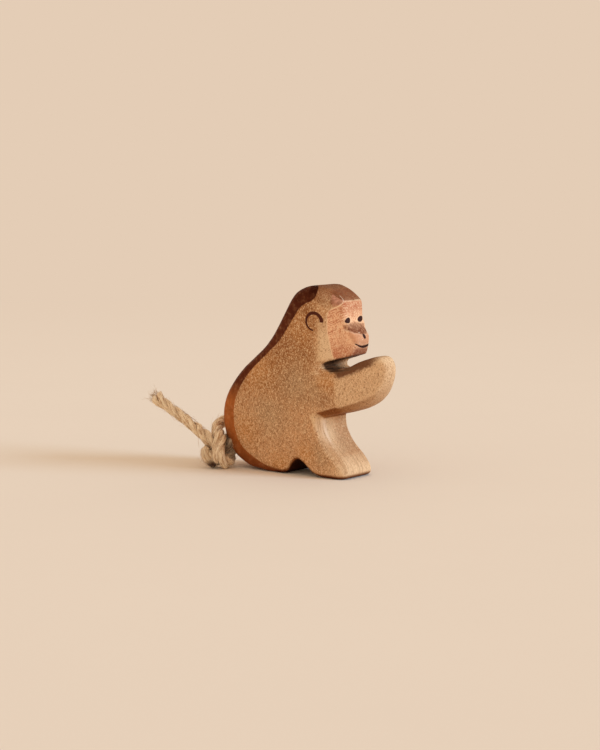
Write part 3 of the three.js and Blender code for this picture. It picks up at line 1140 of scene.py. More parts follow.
def painted_face(wiring, settings, flecks, wood):
    """The painted face on the wood, with a pale cut around it and painted highlights beside the nostril,
    and the mask of where it is.
    """
    x = wiring.axes()[0]
    face = painted(wiring, "face_depth", 0.25, 0.2)
    color = terracotta(wiring, settings, flecks)
    color = painted_muzzle(wiring, settings, flecks, color)
    color = painted_bridge(wiring, settings, color)
    color = dark_chin(wiring, settings, flecks, color)
    color = wiring.blend(face, wood, color)
    cut = wiring.times(
        wiring.ramp(wiring.unsigned(wiring.read("face_depth")), 0.4, 0.1),
        wiring.ramp(wiring.noise(1.4, 2), 0.3, 0.55), wiring.ramp(x, *FACE_CUT_BACK), 0.75,
    )
    color = wiring.blend(cut, color, settings.pale_face)
    # Painted highlights beside the nostril
    spots = wiring.ramp(wiring.read("spot_reach"), 0.5, 0.15, 0, 0.65)
    return wiring.blend(spots, color, settings.shine), face


def terracotta(wiring, settings, flecks):
    """The face's own colour: redder on the brow and the jaw, with pale and red flecks and scratches."""
    x, _, z = wiring.axes()
    color = uneven(wiring, settings.face, patches=0.35, strength=0.16)
    brow = wiring.times(wiring.ramp(x, *BROW_FRONT), wiring.ramp(z, *BROW_HEIGHT), 0.6)
    color = wiring.blend(brow, color, settings.red_face)
    color = wiring.blend(wiring.ramp(z, *JAW_HEIGHT, 0, 0.6), color, settings.red_face)
    color = wiring.blend(wiring.ramp(flecks, 0.5, 0.68, 0, 0.85), color, settings.pale_face)
    color = wiring.blend(wiring.ramp(flecks, 0.48, 0.32, 0, 0.7), color, settings.red_face)
    scratched = wiring.times(scratches(wiring), wiring.ramp(x, *SCRATCHED_BACK, 0.2, 0.75))
    return wiring.blend(scratched, color, settings.red_face)


def painted_muzzle(wiring, settings, flecks, face):
    """The paler sides of the muzzle: painted light where they turn towards the front."""
    muzzle = painted(wiring, "muzzle_depth", 0.5, 0.6)
    muzzle = wiring.times(muzzle, wiring.ramp(flecks, 0.3, 0.6, 0.4, 0.8))
    color = uneven(wiring, settings.muzzle, patches=1.3, strength=0.5)
    return wiring.blend(muzzle, face, color)


def painted_bridge(wiring, settings, face):
    """The brown wedge of the nose, paler in streaks, with painted shade that leaves it paler towards its
    top, and a painted highlight as a thin bright rim below.
    """
    z = wiring.axes()[2]
    depth = wiring.read("bridge_depth")
    bridge = wiring.times(painted(wiring, "bridge_depth", 0.5, 0.45), 0.95)
    grain = wiring.ramp(streaks(wiring, (0.6, 2, 0.6), 3), 0.45, 0.65, 0, 0.4)
    # Painted shade: the wedge is darker low down and paler towards its top, besides its paler streaks
    share = wiring.scaled(wiring.ramp(z, *BRIDGE_TOP), 0.3, grain)
    color = wiring.blend(bridge, face, wiring.blend(share, settings.bridge, settings.face))
    # Painted highlight: a thin bright rim along the wedge's lower edge
    rim = wiring.times(
        wiring.ramp(depth, -0.7, -0.2), wiring.ramp(depth, 0.1, -0.2),
        wiring.ramp(z, *BRIDGE_RIM_TOP, 0, 0.25),
    )
    return wiring.blend(rim, color, settings.shine)


def dark_chin(wiring, settings, flecks, face):
    """The chin, where red and brown paint have run together."""
    _, y, z = wiring.axes()
    chin = wiring.times(
        wiring.ramp(z, *CHIN_HEIGHT), wiring.ramp(y, *CHIN_SIDE), wiring.ramp(flecks, 0.3, 0.6, 1, 0.7),
    )
    color = wiring.blend(wiring.times(chin, 0.6), face, settings.red_face)
    return wiring.blend(wiring.times(chin, 0.45), color, settings.bridge)


def dark_cuts(wiring, settings, wood):
    """Burn and painted shade in the gap under the chin, stain and painted shade on the arm's upper edge,
    and dark stain at the gap's scooped ends.
    """
    x, y, _ = wiring.axes()
    along = streaks(wiring, (0.22, 0.3, 2.4), 3)
    shift = wiring.minus(along, 0.5)
    # Burn and painted shade in the gap, lighter at its far end
    gap = wiring.times(
        painted(wiring, "gap_depth", 0.5, 0.3), wiring.ramp(x, *GAP_FRONT),
        wiring.ramp(y, *GAP_FAR_END, 0.15, 0.95), wiring.ramp(wiring.scaled(shift, 7, y), *GAP_NEAR_END),
    )
    gap_burn_and_shade_color = wiring.blend(wiring.ramp(along, 0.45, 0.6), settings.soot_and_gap_shade, settings.umber)
    color = wiring.blend(gap, wood, gap_burn_and_shade_color)
    # Brown stain and painted shade from the head along the arm's upper edge, fading towards the hand
    arm = wiring.times(painted(wiring, "arm_edge_depth", 1, 1), wiring.ramp(x, *ARM_EDGE_FADES, 0.1, 0.9))
    color = wiring.blend(arm, color, settings.arm_edge_stain_and_shade)
    depth = wiring.read("stroke_depth")
    stroke = wiring.ramp(wiring.scaled(shift, 3.4, depth), -0.3, 0.6, 0, 0.85)
    color = wiring.blend(stroke, color, settings.ash)
    core = wiring.ramp(wiring.scaled(shift, 2.6, depth), 0.4, 1.1, 0, 0.9)
    color = wiring.blend(core, color, settings.soot_and_gap_shade)
    return wiring.blend(torn_wood(wiring), color, settings.pale_wood)


def torn_wood(wiring):
    """The mask of the torn wood at the gap's ends, alike on both sides."""
    x, y, z = wiring.axes()
    one_side = wiring.times(wiring.unsigned(y), -1)
    mirrored = wiring.node("ShaderNodeCombineXYZ", X=x, Y=one_side, Z=z).outputs[0]
    torn = ovals(wiring.at(mirrored), TORN, 1, 0.5)
    return wiring.times(torn, wiring.ramp(wiring.noise(2, 2), 0.35, 0.55), 0.85)


def face_marks(wiring):
    """The eyes, the nose and the mouth."""
    x, y, z = wiring.axes()
    aside = wiring.minus(y, MOUTH_LOW[0])
    sag = wiring.scaled(wiring.times(aside, aside), MOUTH_RISE, MOUTH_LOW[1])
    off_line = wiring.unsigned(wiring.minus(z, sag))
    half = wiring.ramp(y, MOUTH_RIGHT_END, MOUTH_LEFT_END - 2, MOUTH_THIN, MOUTH_THICK)
    mouth = wiring.times(
        wiring.ramp(wiring.minus(off_line, half), 0.08, -0.08),
        wiring.ramp(y, MOUTH_RIGHT_END, MOUTH_RIGHT_END + MOUTH_FADE),
        wiring.ramp(y, MOUTH_LEFT_END, MOUTH_LEFT_END - MOUTH_FADE), wiring.ramp(x, *FACE_FRONT),
    )
    return wiring.most(mouth, ovals(wiring, (*EYES, NOSE), 1, 0.1))


def ear_rings(wiring):
    """The open ring drawn for each ear, thick at its front end and thin below."""
    x, y, z = wiring.axes()
    right = wiring.calculate("DIVIDE", wiring.minus(x, EAR_MIDDLE[0]), EAR_HALF_WIDTH)
    up = wiring.calculate("DIVIDE", wiring.minus(z, EAR_MIDDLE[1]), EAR_HALF_HEIGHT)
    reach = wiring.calculate("SQRT", wiring.scaled(right, right, wiring.times(up, up)))
    off_ring = wiring.times(wiring.unsigned(wiring.minus(reach, 1)), EAR_HALF_WIDTH)
    first = EAR_START - 0.2
    turn = wiring.calculate("WRAP", wiring.calculate("ARCTAN2", up, right), 2 * math.pi + first, first)
    half = wiring.ramp(turn, EAR_THINS, EAR_END, EAR_THICK, EAR_THIN)
    ragged = wiring.scaled(wiring.minus(wiring.noise(1.6, 2), 0.5), 0.3, off_ring)
    return wiring.times(
        wiring.ramp(wiring.minus(ragged, half), 0.1, -0.1),
        wiring.calculate("LESS_THAN", turn, EAR_END), wiring.calculate("GREATER_THAN", turn, EAR_START),
        wiring.calculate("GREATER_THAN", wiring.unsigned(y), EAR_SIDE),
    )


def hairy_jute(settings):
    """Twisted jute: pale bundles of fibre along each strand. Painted shade darkens short stretches of the
    gaps between strands, the knot's crevices and its shaded turns.
    """
    material, wiring, shader = new_material("hairy_jute")
    wiring.place = wiring.read("fibre_place", "Vector")
    bundles = streaks(wiring, (1.9, 1.9, 0.22), 3)
    fine = streaks(wiring, (6, 6, 0.6), 2)
    hairs = wiring.scaled(fine, 0.4, wiring.times(bundles, 0.6))
    color = wiring.blend(wiring.ramp(hairs, 0.36, 0.54), settings.brown, settings.pale)
    # Painted shade: browner in the grooves between strands and dark in short stretches of them, dark in the
    # knot's crevices and on its turns that lie in shade
    groove = wiring.ramp(wiring.read("groove"), 0.45, 0.88)
    short = wiring.ramp(streaks(wiring, (0.3, 0.3, 0.4), 1), 0.38, 0.54)
    crevice = wiring.ramp(wiring.read("crevice"), 3.4, 2.5, 0, 0.85)
    painted_shade = wiring.times(wiring.read("painted_shade"), wiring.ramp(hairs, 0.45, 0.65, 1, 0.8))
    color = wiring.blend(wiring.times(groove, 0.4), color, settings.brown)
    for hollow in (wiring.times(groove, short, 0.9), crevice, painted_shade):
        color = wiring.blend(hollow, color, settings.hollow)
    color = uneven(wiring, color, patches=0.25, strength=0.2)
    shader.inputs["Sheen Weight"].default_value = 0.2
    dress(wiring, shader, color, 0.85, hairs, relief=0.25)
    return material


def loose_jute(settings):
    """Single jute fibres."""
    material, wiring, shader = new_material("loose_jute")
    wiring.place = wiring.millimetres()
    color = wiring.blend(wiring.noise(0.6, 2), settings.brown, settings.pale)
    color = uneven(wiring, color, patches=0.4, strength=0.3)
    wiring.feed(shader.inputs["Base Color"], color)
    wiring.feed(shader.inputs["Roughness"], 0.7)
    return material


def dried_glue():
    """Yellowed glue with a skin that shrank as it dried."""
    material, wiring, shader = new_material("dried_glue")
    wiring.place = wiring.millimetres()
    wrinkles = streaks(wiring, (1.2, 1.2, 1.2), 4)
    color = wiring.blend(wrinkles, srgb(196, 172, 120), srgb(228, 212, 168))
    color = uneven(wiring, color, patches=0.6, strength=0.15)
    rough = wiring.ramp(wrinkles, 0.3, 0.7, 0.25, 0.5)
    dress(wiring, shader, color, rough, wrinkles, relief=0.1, strength=0.6)
    return material


# The carved wood


def evened_mesh(settings):
    """The carved solid with small even faces."""
    carving = bpy.data.objects.new("carving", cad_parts["carved_figure"].data.copy())
    bpy.context.scene.collection.objects.link(carving)
    remesh = carving.modifiers.new("even_faces", "REMESH")
    remesh.mode = "VOXEL"
    remesh.voxel_size = settings.face_size
    shaped = carving.evaluated_get(bpy.context.evaluated_depsgraph_get())
    mesh = bpy.data.meshes.new_from_object(shaped)
    bpy.data.objects.remove(carving)
    return mesh


def eased(places, edges, shares, rounds):
    """Moves each place half way to the middle of its neighbours, by its own share, some rounds over."""
    start, end = edges.T
    count = np.bincount(edges.ravel(), minlength=len(places))
    for _ in range(rounds):
        middle = np.stack([
            np.bincount(start, column[end], len(places)) + np.bincount(end, column[start], len(places))
            for column in places.T
        ], axis=1) / count[:, None]
        places = places + shares[:, None] * 0.5 * (middle - places)
    return places


def whittled(places, facets):
    """Slices flat facets off, each within its reach, whose last quarter fades out."""
    for place, normal, reach in facets:
        normal = np.array(normal) / np.linalg.norm(normal)
        offset = places - place
        depth = offset @ normal
        away = np.linalg.norm(offset - depth[:, None] * normal, axis=1)
        within = np.clip((reach - away) / (0.25 * reach), 0, 1)
        slice_depth = np.where((depth > 0) & (depth < DEEPEST_SLICE), depth * within, 0)
        places = places - slice_depth[:, None] * normal
    return places


def bevelled_arms(places):
    """Widens the bevel under the arms to the line where the knife started."""
    x, y, z = places.T
    line_x, line_z = np.array(ARM_BEVEL).T
    below = np.interp(x, line_x, line_z) - z
    side = HALF_THICKNESS - np.maximum(0, x - ARM_SIDE_START) * math.tan(ARM_SIDE_TAPER)
    limit = side - np.maximum(0, below) * ARM_BEVEL_SLOPE
    on_arm = (x > line_x[0]) & (z > ARM_LOWEST) & (below < ARM_BEVEL_DEPTH)
    limit = np.where(on_arm, np.maximum(limit, ARM_THINNEST), HALF_THICKNESS)
    moved = places.copy()
    moved[:, 1] = np.clip(y, -limit, limit)
    return moved


def rounded_shares(places):
    """How much each place is rounded by handling, from 0 to 1."""
    shares = np.zeros(len(places))
    for place, radius in ROUNDED:
        reach = np.linalg.norm(places - place, axis=1) / radius
        shares = np.maximum(shares, np.clip(ROUNDING_FADE * (1 - reach), 0, 1))
    return np.maximum(shares, np.clip(1 - places[:, 2] / LOW_ROUNDING, 0, 1))


def knife_waves(places, normals, height):
    """Shallow waves that follow the knife."""
    moved = places.copy()
    for k, (place, normal) in enumerate(zip(places, normals)):
        wave = noise.noise(Vector(place * WAVES_PER_MM))
        moved[k] = place + normal * (wave * height)
    return moved


def ridge_distance(places):
    """How far each place is from the nearest knife-cut ridge of the CAD solid."""
    solid = bmesh.new()
    solid.from_mesh(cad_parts["carved_figure"].data)
    bmesh.ops.remove_doubles(solid, verts=solid.verts, dist=0.001 * MM)
    ridges = []
    for edge in solid.edges:
        if len(edge.link_faces) == 2 and edge.calc_face_angle_signed() > RIDGE_ANGLE:
            start, end = (vertex.co / MM for vertex in edge.verts)
            for share in np.linspace(0, 1, max(2, int((end - start).length / RIDGE_STEP))):
                ridges.append(start.lerp(end, share))
    solid.free()
    tree = kdtree.KDTree(len(ridges))
    for k, ridge in enumerate(ridges):
        tree.insert(ridge, k)
    tree.balance()
    return np.array([tree.find(place)[2] for place in places])


def band_depth(places):
    """How far inside the dark band each place lies, negative outside it."""
    x, y, z = places.T
    on_top = np.clip(z - BAND_TOP, 0, 1)
    shift = BAND_RECEDES * on_top * np.maximum(0, BAND_TOP_HALF_WIDTH - np.abs(y))
    return depth_inside(np.stack([x + shift, z], axis=1), smooth_outline(BAND_BORDER, BAND_BEHIND))


def line_distance(places, points):
    """How far each place is from the nearest of the points."""
    nearest = np.full(len(places), np.inf)
    for point in points:
        nearest = np.minimum(nearest, np.linalg.norm(places - point, axis=1))
    return nearest


def stroke_depth(places):
    """How far inside the grey stroke at each end of the gap a place lies, negative outside it."""
    x, height, thick = np.array(STROKE).T
    middle = np.interp(places[:, 0], x, height)
    half = np.interp(places[:, 0], x, thick)
    depth = half - np.abs(places[:, 2] - middle)
    return np.where(np.abs(places[:, 1]) > STROKE_FROM_SIDE, depth, OUTSIDE)


def shade_below(places, normals):
    """How dark the painted shade on the places that look down is, from 0 to 1. It fades towards the hand.
    """
    x, _, z = places.T
    painted_shade = np.interp(-normals[:, 2], LOOKS_DOWN, (0, 1)) * np.interp(x, *SHADE_FADES)
    line = TUCK_START[1] + TUCK_SLOPE * (x - TUCK_START[0])
    tucked = np.clip(TUCK_SHARPNESS * (line - z) + 0.5, 0, 1)
    return np.where((x < TUCK_END) & (z > TUCK_START[1] - TUCK_BELOW), painted_shade * tucked, painted_shade)


def patch_strength(sides, patches):
    """Soft round patches on the sides, from 0 to 1."""
    strength = np.zeros(len(sides))
    for x, z, radius in patches:
        reach = np.linalg.norm(sides - (x, z), axis=1) / radius
        strength = np.maximum(strength, np.exp(-reach ** 2))
    return strength


def leg_front(places):
    """How far each place lies in front of the line where the legs' pale front begins."""
    edge_x, edge_z = np.array(LEG_EDGE).T
    return places[:, 0] - np.interp(places[:, 2], edge_z, edge_x)


def whittled_wood(settings):
    """The carved wood's mesh, with its places and normals from before the knife's waves."""
    mesh = evened_mesh(settings)
    places = read_places(mesh)
    edges = np.empty(len(mesh.edges) * 2, int)
    mesh.edges.foreach_get("vertices", edges)
    edges = edges.reshape(-1, 2)
    everywhere = np.ones(len(places))
    places = eased(places, edges, everywhere, settings.softening)
    places = eased(places, edges, rounded_shares(places), settings.rounding)
    places = bevelled_arms(whittled(places, FACETS))
    places = eased(places, edges, everywhere, CUTS_SOFTENING)
    write_places(mesh, places)
    normals = np.empty(len(places) * 3)
    mesh.vertices.foreach_get("normal", normals)
    normals = normals.reshape(-1, 3)
    write_places(mesh, knife_waves(places, normals, settings.wave_height / MM))
    return mesh, places, normals


def mark_out(mesh, places, normals):
    """Keeps in the mesh how deep each place lies in each painted border, its wear and its painted light and
    shade.
    """
    sides = places[:, [0, 2]]
    for name, border, rest in (
        ("face_depth", FACE_BORDER, FACE_IN_FRONT), ("cap_depth", CAP_BORDER, CAP_ABOVE),
        ("crown_depth", CROWN_BORDER, CROWN_ABOVE), ("muzzle_depth", MUZZLE_BORDER, ()),
    ):
        store(mesh, name, depth_inside(sides, smooth_outline(border, rest)))
    for name, patches in (
        ("shaded_patch", SHADED_PATCHES), ("grey_patch", GREY_PATCHES), ("warm_patch", WARM_PATCHES),
    ):
        store(mesh, name, patch_strength(sides, patches))
    bridge = depth_inside(places[:, [1, 2]], BRIDGE_BORDER)
    facet = depth_inside(sides, FACET_BORDER)
    store(mesh, "bridge_depth", np.where(places[:, 0] > FRONT_FROM, bridge, OUTSIDE))
    store(mesh, "facet_depth", np.where(places[:, 1] < 0, facet, OUTSIDE))
    store(mesh, "band_depth", band_depth(places))
    store(mesh, "gap_depth", depth_inside(sides, GAP_BORDER))
    store(mesh, "arm_edge_depth", depth_inside(sides, ARM_EDGE_BORDER))
    store(mesh, "stroke_depth", stroke_depth(places))
    store(mesh, "ridge", ridge_distance(places))
    store(mesh, "shine_reach", line_distance(places, line_through(SHINE, SHINE_STEP)))
    store(mesh, "spot_reach", line_distance(places, np.array(SHINE_SPOTS)))
    store(mesh, "shade_below", shade_below(places, normals))
    store(mesh, "leg_front", leg_front(places))


def carve_figure(settings):
    """The carved wood, stained and painted."""
    mesh, places, normals = whittled_wood(settings)
    mark_out(mesh, places, normals)
    piece = new_object("carved_wood", mesh, painted_wood(settings))
    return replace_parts(piece, "carved_figure")


# The twine tail


def camera_directions():
    """Right, up and towards the camera, as the camera sees the figure."""
    azimuth = math.radians(CAMERA_AZIMUTH)
    height = math.radians(CAMERA_ELEVATION)
    towards = np.array([
        math.sin(azimuth) * math.cos(height), -math.cos(azimuth) * math.cos(height), math.sin(height),
    ])
    right = np.array([math.cos(azimuth), math.sin(azimuth), 0])
    return right, np.cross(towards, right), towards


def knot_places(places):
    """Places given in the knot's own directions, in the figure's."""
    return np.array(KNOT_MIDDLE) + np.array(places) @ np.array(camera_directions())


def tail_line(contact, step):
    """The twine's middle line, with its knot pulled up so that the turns just touch."""
    knot = knot_places(KNOT_ROUTE)
    root = np.array(ROOT_ROUTE, float)
    root[:, 2] -= ROOT_SAG
    line = line_through([*root, *knot, *END_ROUTE], step)
    first = nearest_point(line, root[-1])
    last = nearest_point(line, END_ROUTE[0])
    return pulled_up(line, first, last, contact, step)


def nearest_point(line, place):
    """The number of the line's point that is nearest to the place."""
    return int(np.argmin(np.linalg.norm(line - place, axis=1)))


def pulled_up(line, first, last, contact, step):
    """Eases the stretch from first to last, while turns nearer than the contact distance part."""
    free = np.zeros((len(line), 1))
    free[first + 1:last] = 1
    order = np.arange(len(line))
    apart = np.abs(np.subtract.outer(order, order)) > TURN_GAP * contact / step
    for _ in range(KNOT_ROUNDS):
        pull = np.zeros_like(line)
        pull[1:-1] = (line[:-2] + line[2:]) / 2 - line[1:-1]
        stiff = np.zeros_like(line)
        stiff[1:-1] = (pull[:-2] + pull[2:]) / 2 - pull[1:-1]
        line = line + free * (KNOT_PULL * pull - KNOT_STIFFNESS * stiff)
        between = line[:, None] - line[None]
        distance = np.linalg.norm(between, axis=2) + 1e-9
        touching = (distance < contact) & apart
        push = np.where(touching, (contact - distance) / distance, 0)[..., None] * between
        count = np.maximum(touching.sum(axis=1), 1)[:, None]
        line = line + free * KNOT_PUSH * push.sum(axis=1) / count
        on_floor = np.maximum(line[:, 2], contact / 2)
        line[:, 2] = np.where(free[:, 0] > 0, on_floor, line[:, 2])
    return line


def looseness(from_tip):
    """How much thicker than its core the twine is at a distance from its tip."""
    distances, factors = np.array(LOOSENESS, float).T
    return np.interp(from_tip, distances, factors)


def strand_rings(line, settings, number):
    """One strand's vertices, ring by ring, with their place in the strand and how near its neighbours."""
    _, side, up = carried_frames(line)
    reach = reach_along(line)
    from_tip = reach[-1] - reach
    radius = settings.diameter / MM / 2 * looseness(from_tip)
    wander = np.array([
        noise.noise(Vector((along * WANDERS_PER_MM, number * WANDER_SHIFT, 3))) for along in reach
    ])
    turn = 2 * math.pi * (reach / (settings.lay / MM) + number / settings.strands)
    turn += STRAND_WANDER * wander
    splay = 1 + SPLAY * np.clip(1 - from_tip / SPLAY_LENGTH, 0, 1) ** 2
    offset = radius * STRAND_OFFSET * splay
    taper = np.clip(BLUNT_END + from_tip / TAPER_LENGTH, 0, 1)
    middle = line + (offset * np.cos(turn))[:, None] * side + (offset * np.sin(turn))[:, None] * up
    vertices, inside, groove = [], [], []
    for k in range(len(line)):
        for angle in 2 * math.pi * np.arange(STRAND_SIDES) / STRAND_SIDES:
            right, over = math.cos(angle), math.sin(angle)
            shift = number * LUMP_SHIFT
            bundle = noise.noise(Vector((
                BUNDLES_AROUND * right, BUNDLES_AROUND * over + shift, reach[k] * BUNDLES_PER_MM,
            )))
            lump = noise.noise(Vector((right, over + shift, reach[k] * LUMPS_PER_MM)))
            out = radius[k] * STRAND_RADIUS * taper[k] * (1 + BUNDLE_HEIGHT * bundle + LUMP_HEIGHT * lump)
            vertices.append(middle[k] + out * right * side[k] + out * over * up[k])
            inside.append((out * right + number * FIBRE_SHIFT, out * over, reach[k]))
            # How far round the strand a vertex faces into the twine, where the jute's painted shade goes
            groove.append((1 - math.cos(angle - turn[k])) / 2)
    return vertices, inside, groove


def lay_twine(settings):
    """The three twisted strands of the tail, with its loose fibres."""
    line = tail_line(KNOT_CONTACT, TAIL_STEP)
    fine = evenly(line, TAIL_STEP / 2)
    vertices, inside, groove, faces = [], [], [], []
    for number in range(settings.strands):
        strand = fine[:len(fine) - TIP_CUTS[number % len(TIP_CUTS)]]
        rings, places, depths = strand_rings(strand, settings, number)
        faces += tube_faces(len(strand), STRAND_SIDES, len(vertices))
        vertices += rings
        inside += places
        groove += depths
    vertices = np.array(vertices)
    vertices[:, 2] = np.maximum(vertices[:, 2], FLOOR_CLEARANCE)
    mesh = mesh_of("tail_twine", vertices, faces)
    store(mesh, "crevice", crevices(vertices, [place[2] for place in inside], line))
    store(mesh, "painted_shade", knot_shade(vertices))
    store(mesh, "fibre_place", inside)
    store(mesh, "groove", groove)
    twine = new_object("tail_twine", mesh, hairy_jute(settings))
    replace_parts(twine, "tail_rope_root", "tail_knot", "tail_rope_end")
    fuzz = loose_fibres(line, settings)
    return twine


def crevices(vertices, reaches, line):
    """How far each vertex is from the middle of the next turn of the knot."""
    reaches = np.array(reaches)
    nearest = np.full(len(vertices), float(FAR_AWAY))
    for point, along in zip(line, reach_along(line)):
        distance = np.linalg.norm(vertices - point, axis=1)
        other_turn = np.abs(reaches - along) > CREVICE_GAP * KNOT_CONTACT
        nearest = np.where(other_turn, np.minimum(nearest, distance), nearest)
    return nearest


def knot_shade(vertices):
    """How dark the painted shade on the knot is at each vertex, from 0 to 1."""
    painted_shade = np.zeros(len(vertices))
    for place, reach, strength in KNOT_SHADE:
        away = np.linalg.norm(vertices - knot_places(place), axis=1) / reach
        painted_shade = np.maximum(painted_shade, strength * np.clip(1.8 - 1.8 * away, 0, 1))
    return painted_shade


def fibre_tube(points, thickness):
    """A thin three-sided tube that tapers along its points."""
    _, side, up = carried_frames(np.array(points))
    rings = []
    for k, point in enumerate(points):
        radius = thickness * (1 - FIBRE_TAPER * k / (len(points) - 1))
        for corner in range(3):
            angle = 2 * math.pi * corner / 3
            rings.append(point + radius * (math.cos(angle) * side[k] + math.sin(angle) * up[k]))
    return rings


def wandering(start, direction, length, chance):
    """Points of one fibre that bends a little at each step."""
    path = [start]
    heading = direction / np.linalg.norm(direction)
    bend = np.array([chance.uniform(-1, 1) for _ in range(3)]) * FIBRE_BEND
    for _ in range(FIBRE_POINTS - 1):
        wander = [chance.uniform(-FIBRE_WANDER, FIBRE_WANDER) for _ in range(3)]
        heading = heading + bend + np.array(wander)
        heading /= np.linalg.norm(heading)
        path.append(path[-1] + heading * (length / (FIBRE_POINTS - 1)))
    return path


def hugging(line, side, up, start, radius, chance):
    """Points of one fibre that runs along the twine, half round it, and lifts off at its end."""
    steps = chance.randrange(*HUG_POINTS)
    way = chance.choice((-1, 1))
    angle = chance.uniform(0, 2 * math.pi)
    drift = chance.uniform(*HUG_DRIFT)
    lift = chance.uniform(*(LOW_LIFT if chance.random() < LOW_LIFTS else HIGH_LIFT))
    path = []
    for k in range(steps):
        share = k / (steps - 1)
        place = min(max(start + way * k, 0), len(line) - 1)
        turn = angle + way * drift * share
        out = radius[place] * HUG_DEPTH + lift * share ** 2
        path.append(line[place] + out * (math.cos(turn) * side[place] + math.sin(turn) * up[place]))
    return path


def tip_fibre(line, ahead, side, up, radius, chance):
    """Points of one fibre that frays from the cut end."""
    k = len(line) - 1 - chance.randrange(4)
    angle = chance.uniform(0, 2 * math.pi)
    outward = math.cos(angle) * side[k] + math.sin(angle) * up[k]
    start = line[k] + outward * radius[k] * chance.uniform(*FRAY_START)
    direction = ahead[k] + outward * chance.uniform(*FRAY_LEAN)
    length = chance.uniform(*(SHORT_FRAY if chance.random() < SHORT_FRAYS else LONG_FRAY))
    return wandering(start, direction, length, chance)


def loose_fibres(line, settings):
    """Fibres that lie along the twine and stand off it, stray bundles, and the brush at its cut end."""
    chance = random.Random(FIBRE_SEED)
    ahead, side, up = carried_frames(line)
    reach = reach_along(line)
    radius = settings.diameter / MM / 2 * looseness(reach[-1] - reach)
    outside = [
        k for k in range(len(line) - 3) if line[k][0] < HOLE_MOUTH[0] - 1 or line[k][1] < FIBRES_PAST_Y
    ]
    paths = [
        hugging(line, side, up, chance.choice(outside), radius, chance)
        for _ in range(settings.loose_fibres)
    ]
    paths += [tip_fibre(line, ahead, side, up, radius, chance) for _ in range(settings.tip_fibres)]
    thickness = [chance.uniform(*FIBRE_THICKNESS) for _ in paths]
    paths += [line_through(knot_places(stray), STRAY_STEP) for stray in STRAYS]
    thickness += [STRAY_THICKNESS] * len(STRAYS)
    vertices, faces = [], []
    for path, thick in zip(paths, thickness):
        above_floor = min(place[2] for place in path) >= 2 * FLOOR_CLEARANCE
        if above_floor and max(place[0] for place in path) <= FIBRES_END_X:
            faces += tube_faces(len(path), 3, len(vertices))
            vertices += fibre_tube(path, thick)
    fuzz = new_object("tail_fibres", mesh_of("tail_fibres", vertices, faces), loose_jute(settings))
    return fuzz


# The stage


def place_camera():
    """The camera at the photograph's angle."""
    towards = camera_directions()[2]
    camera = bpy.data.objects.new("camera", bpy.data.cameras.new("camera"))
    bpy.context.scene.collection.objects.link(camera)
    camera.data.lens = CAMERA_LENS
    camera.data.sensor_width = 36
    camera.data.clip_start = 0.01
    camera.data.clip_end = 50
    target = np.array(CAMERA_TARGET)
    camera.location = (target + towards * CAMERA_DISTANCE) * MM
    camera.rotation_euler = Vector(-towards).to_track_quat("-Z", "Y").to_euler()
    bpy.context.scene.camera = camera


def pale_floor(settings):
    """The floor's material. Far from the figure it takes the backdrop's own colour, so no edge shows."""
    material, wiring, shader = new_material("pale_floor")
    wiring.place = wiring.millimetres()
    color = uneven(wiring, settings.floor, patches=0.012, strength=0.012)
    dress(wiring, shader, color, 0.9, wiring.noise(0.6, 4), relief=0.05, strength=0.2)
    shader.inputs["Specular IOR Level"].default_value = 0.2
    glow = wiring.node("ShaderNodeEmission", Color=settings.backdrop, Strength=1)
    far = wiring.ramp(wiring.length(wiring.place), *BACKDROP_REACH)
    mixed = wiring.node("ShaderNodeMixShader", Fac=far)
    wiring.feed(mixed.inputs[1], shader.outputs[0])
    wiring.feed(mixed.inputs[2], glow.outputs[0])
    output = next(node for node in material.node_tree.nodes if node.type == "OUTPUT_MATERIAL")
    wiring.feed(output.inputs["Surface"], mixed.outputs[0])
    return material


def lay_floor(settings):
    """A wide round floor."""
    floor = bmesh.new()
    bmesh.ops.create_circle(floor, cap_ends=True, segments=96, radius=FLOOR_RADIUS * MM)
    mesh = bpy.data.meshes.new("floor")
    floor.to_mesh(mesh)
    floor.free()
    mesh.materials.append(pale_floor(settings))
    ground = bpy.data.objects.new("floor", mesh)
    bpy.context.scene.collection.objects.link(ground)


def light_stage(settings):
    """An even warm surround, and one soft key light in front of the figure's face."""
    world = bpy.data.worlds.new("surround")
    world.use_nodes = True
    background = world.node_tree.nodes["Background"]
    background.inputs["Color"].default_value = (*settings.backdrop, 1)
    background.inputs["Strength"].default_value = 1
    bpy.context.scene.world = world
    light = bpy.data.lights.new("key_light", "SUN")
    light.color = settings.key
    light.energy = settings.key_strength
    light.angle = settings.key_spread
    key = bpy.data.objects.new("key_light", light)
    bpy.context.scene.collection.objects.link(key)
    level = math.cos(settings.key_height)
    turn = settings.key_turn
    back = Vector((level * math.cos(turn), level * math.sin(turn), math.sin(settings.key_height)))
    key.location = back
    key.rotation_euler = (-back).to_track_quat("-Z", "Y").to_euler()
    bpy.context.scene.view_settings.view_transform = "Standard"


# Operators, panel and registration


class BABOON_OT_stage(Operator):
    """Sets the camera, the floor and the light."""

    bl_idname = "baboon.stage"
    bl_label = "Set the stage"

    def execute(self, context):
        place_camera()
        lay_floor(context.scene.baboon_stage)
        light_stage(context.scene.baboon_stage)
        return {"FINISHED"}


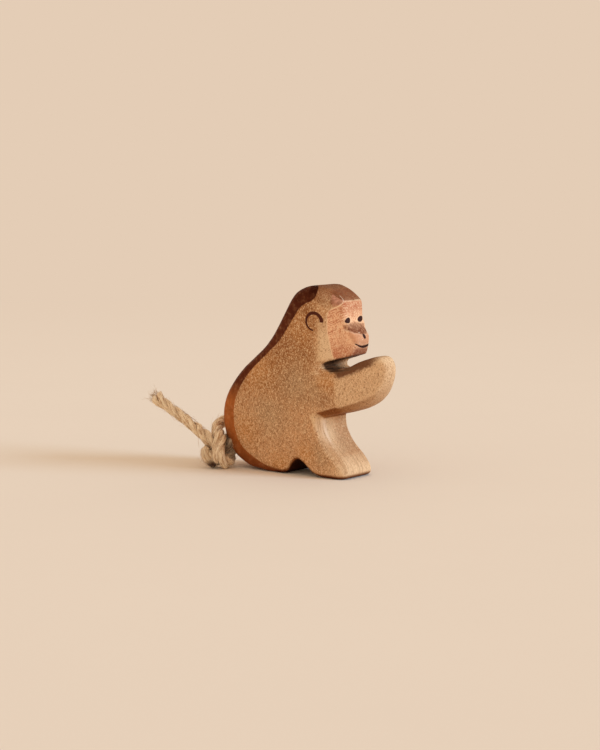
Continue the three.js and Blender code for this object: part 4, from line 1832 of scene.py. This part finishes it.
class BABOON_OT_tail(Operator):
    """Lays and knots the twine tail."""

    bl_idname = "baboon.tail"
    bl_label = "Lay the twine tail"

    def execute(self, context):
        lay_twine(context.scene.baboon_twine)
        return {"FINISHED"}


class BABOON_OT_figure(Operator):
    """Carves, stains and paints the wood."""

    bl_idname = "baboon.figure"
    bl_label = "Carve the figure"

    def execute(self, context):
        carve_figure(context.scene.baboon_wood)
        return {"FINISHED"}


class BABOON_OT_glue(Operator):
    """Gives the glue in the tail's hole its material."""

    bl_idname = "baboon.glue"
    bl_label = "Colour the glue"

    def execute(self, context):
        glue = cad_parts["tail_glue"]
        glue.data.materials.clear()
        glue.data.materials.append(dried_glue())
        return {"FINISHED"}


class BABOON_PT_sidebar(Panel):
    """Lists the steps in the 3D view's sidebar."""

    bl_label = "Wooden baboon"
    bl_idname = "BABOON_PT_sidebar"
    bl_space_type = "VIEW_3D"
    bl_region_type = "UI"
    bl_category = "Baboon"

    def draw(self, context):
        for step in STEPS:
            self.layout.operator(step.bl_idname)
        for settings in (context.scene.baboon_wood, context.scene.baboon_twine, context.scene.baboon_stage):
            box = self.layout.box()
            for name in settings.bl_rna.properties.keys():
                if name not in ("rna_type", "name"):
                    box.prop(settings, name)


STEPS = (BABOON_OT_stage, BABOON_OT_tail, BABOON_OT_figure, BABOON_OT_glue)
CLASSES = (WoodSettings, TwineSettings, StageSettings, *STEPS, BABOON_PT_sidebar)


def register():
    for made in CLASSES:
        bpy.utils.register_class(made)
    bpy.types.Scene.baboon_wood = PointerProperty(type=WoodSettings)
    bpy.types.Scene.baboon_twine = PointerProperty(type=TwineSettings)
    bpy.types.Scene.baboon_stage = PointerProperty(type=StageSettings)


def unregister():
    del bpy.types.Scene.baboon_stage
    del bpy.types.Scene.baboon_twine
    del bpy.types.Scene.baboon_wood
    for made in reversed(CLASSES):
        bpy.utils.unregister_class(made)


def main():
    """Builds everything through the operators."""
    register()
    bpy.ops.baboon.stage()
    bpy.ops.baboon.tail()
    bpy.ops.baboon.figure()
    bpy.ops.baboon.glue()


if __name__ == "__main__":
    main()
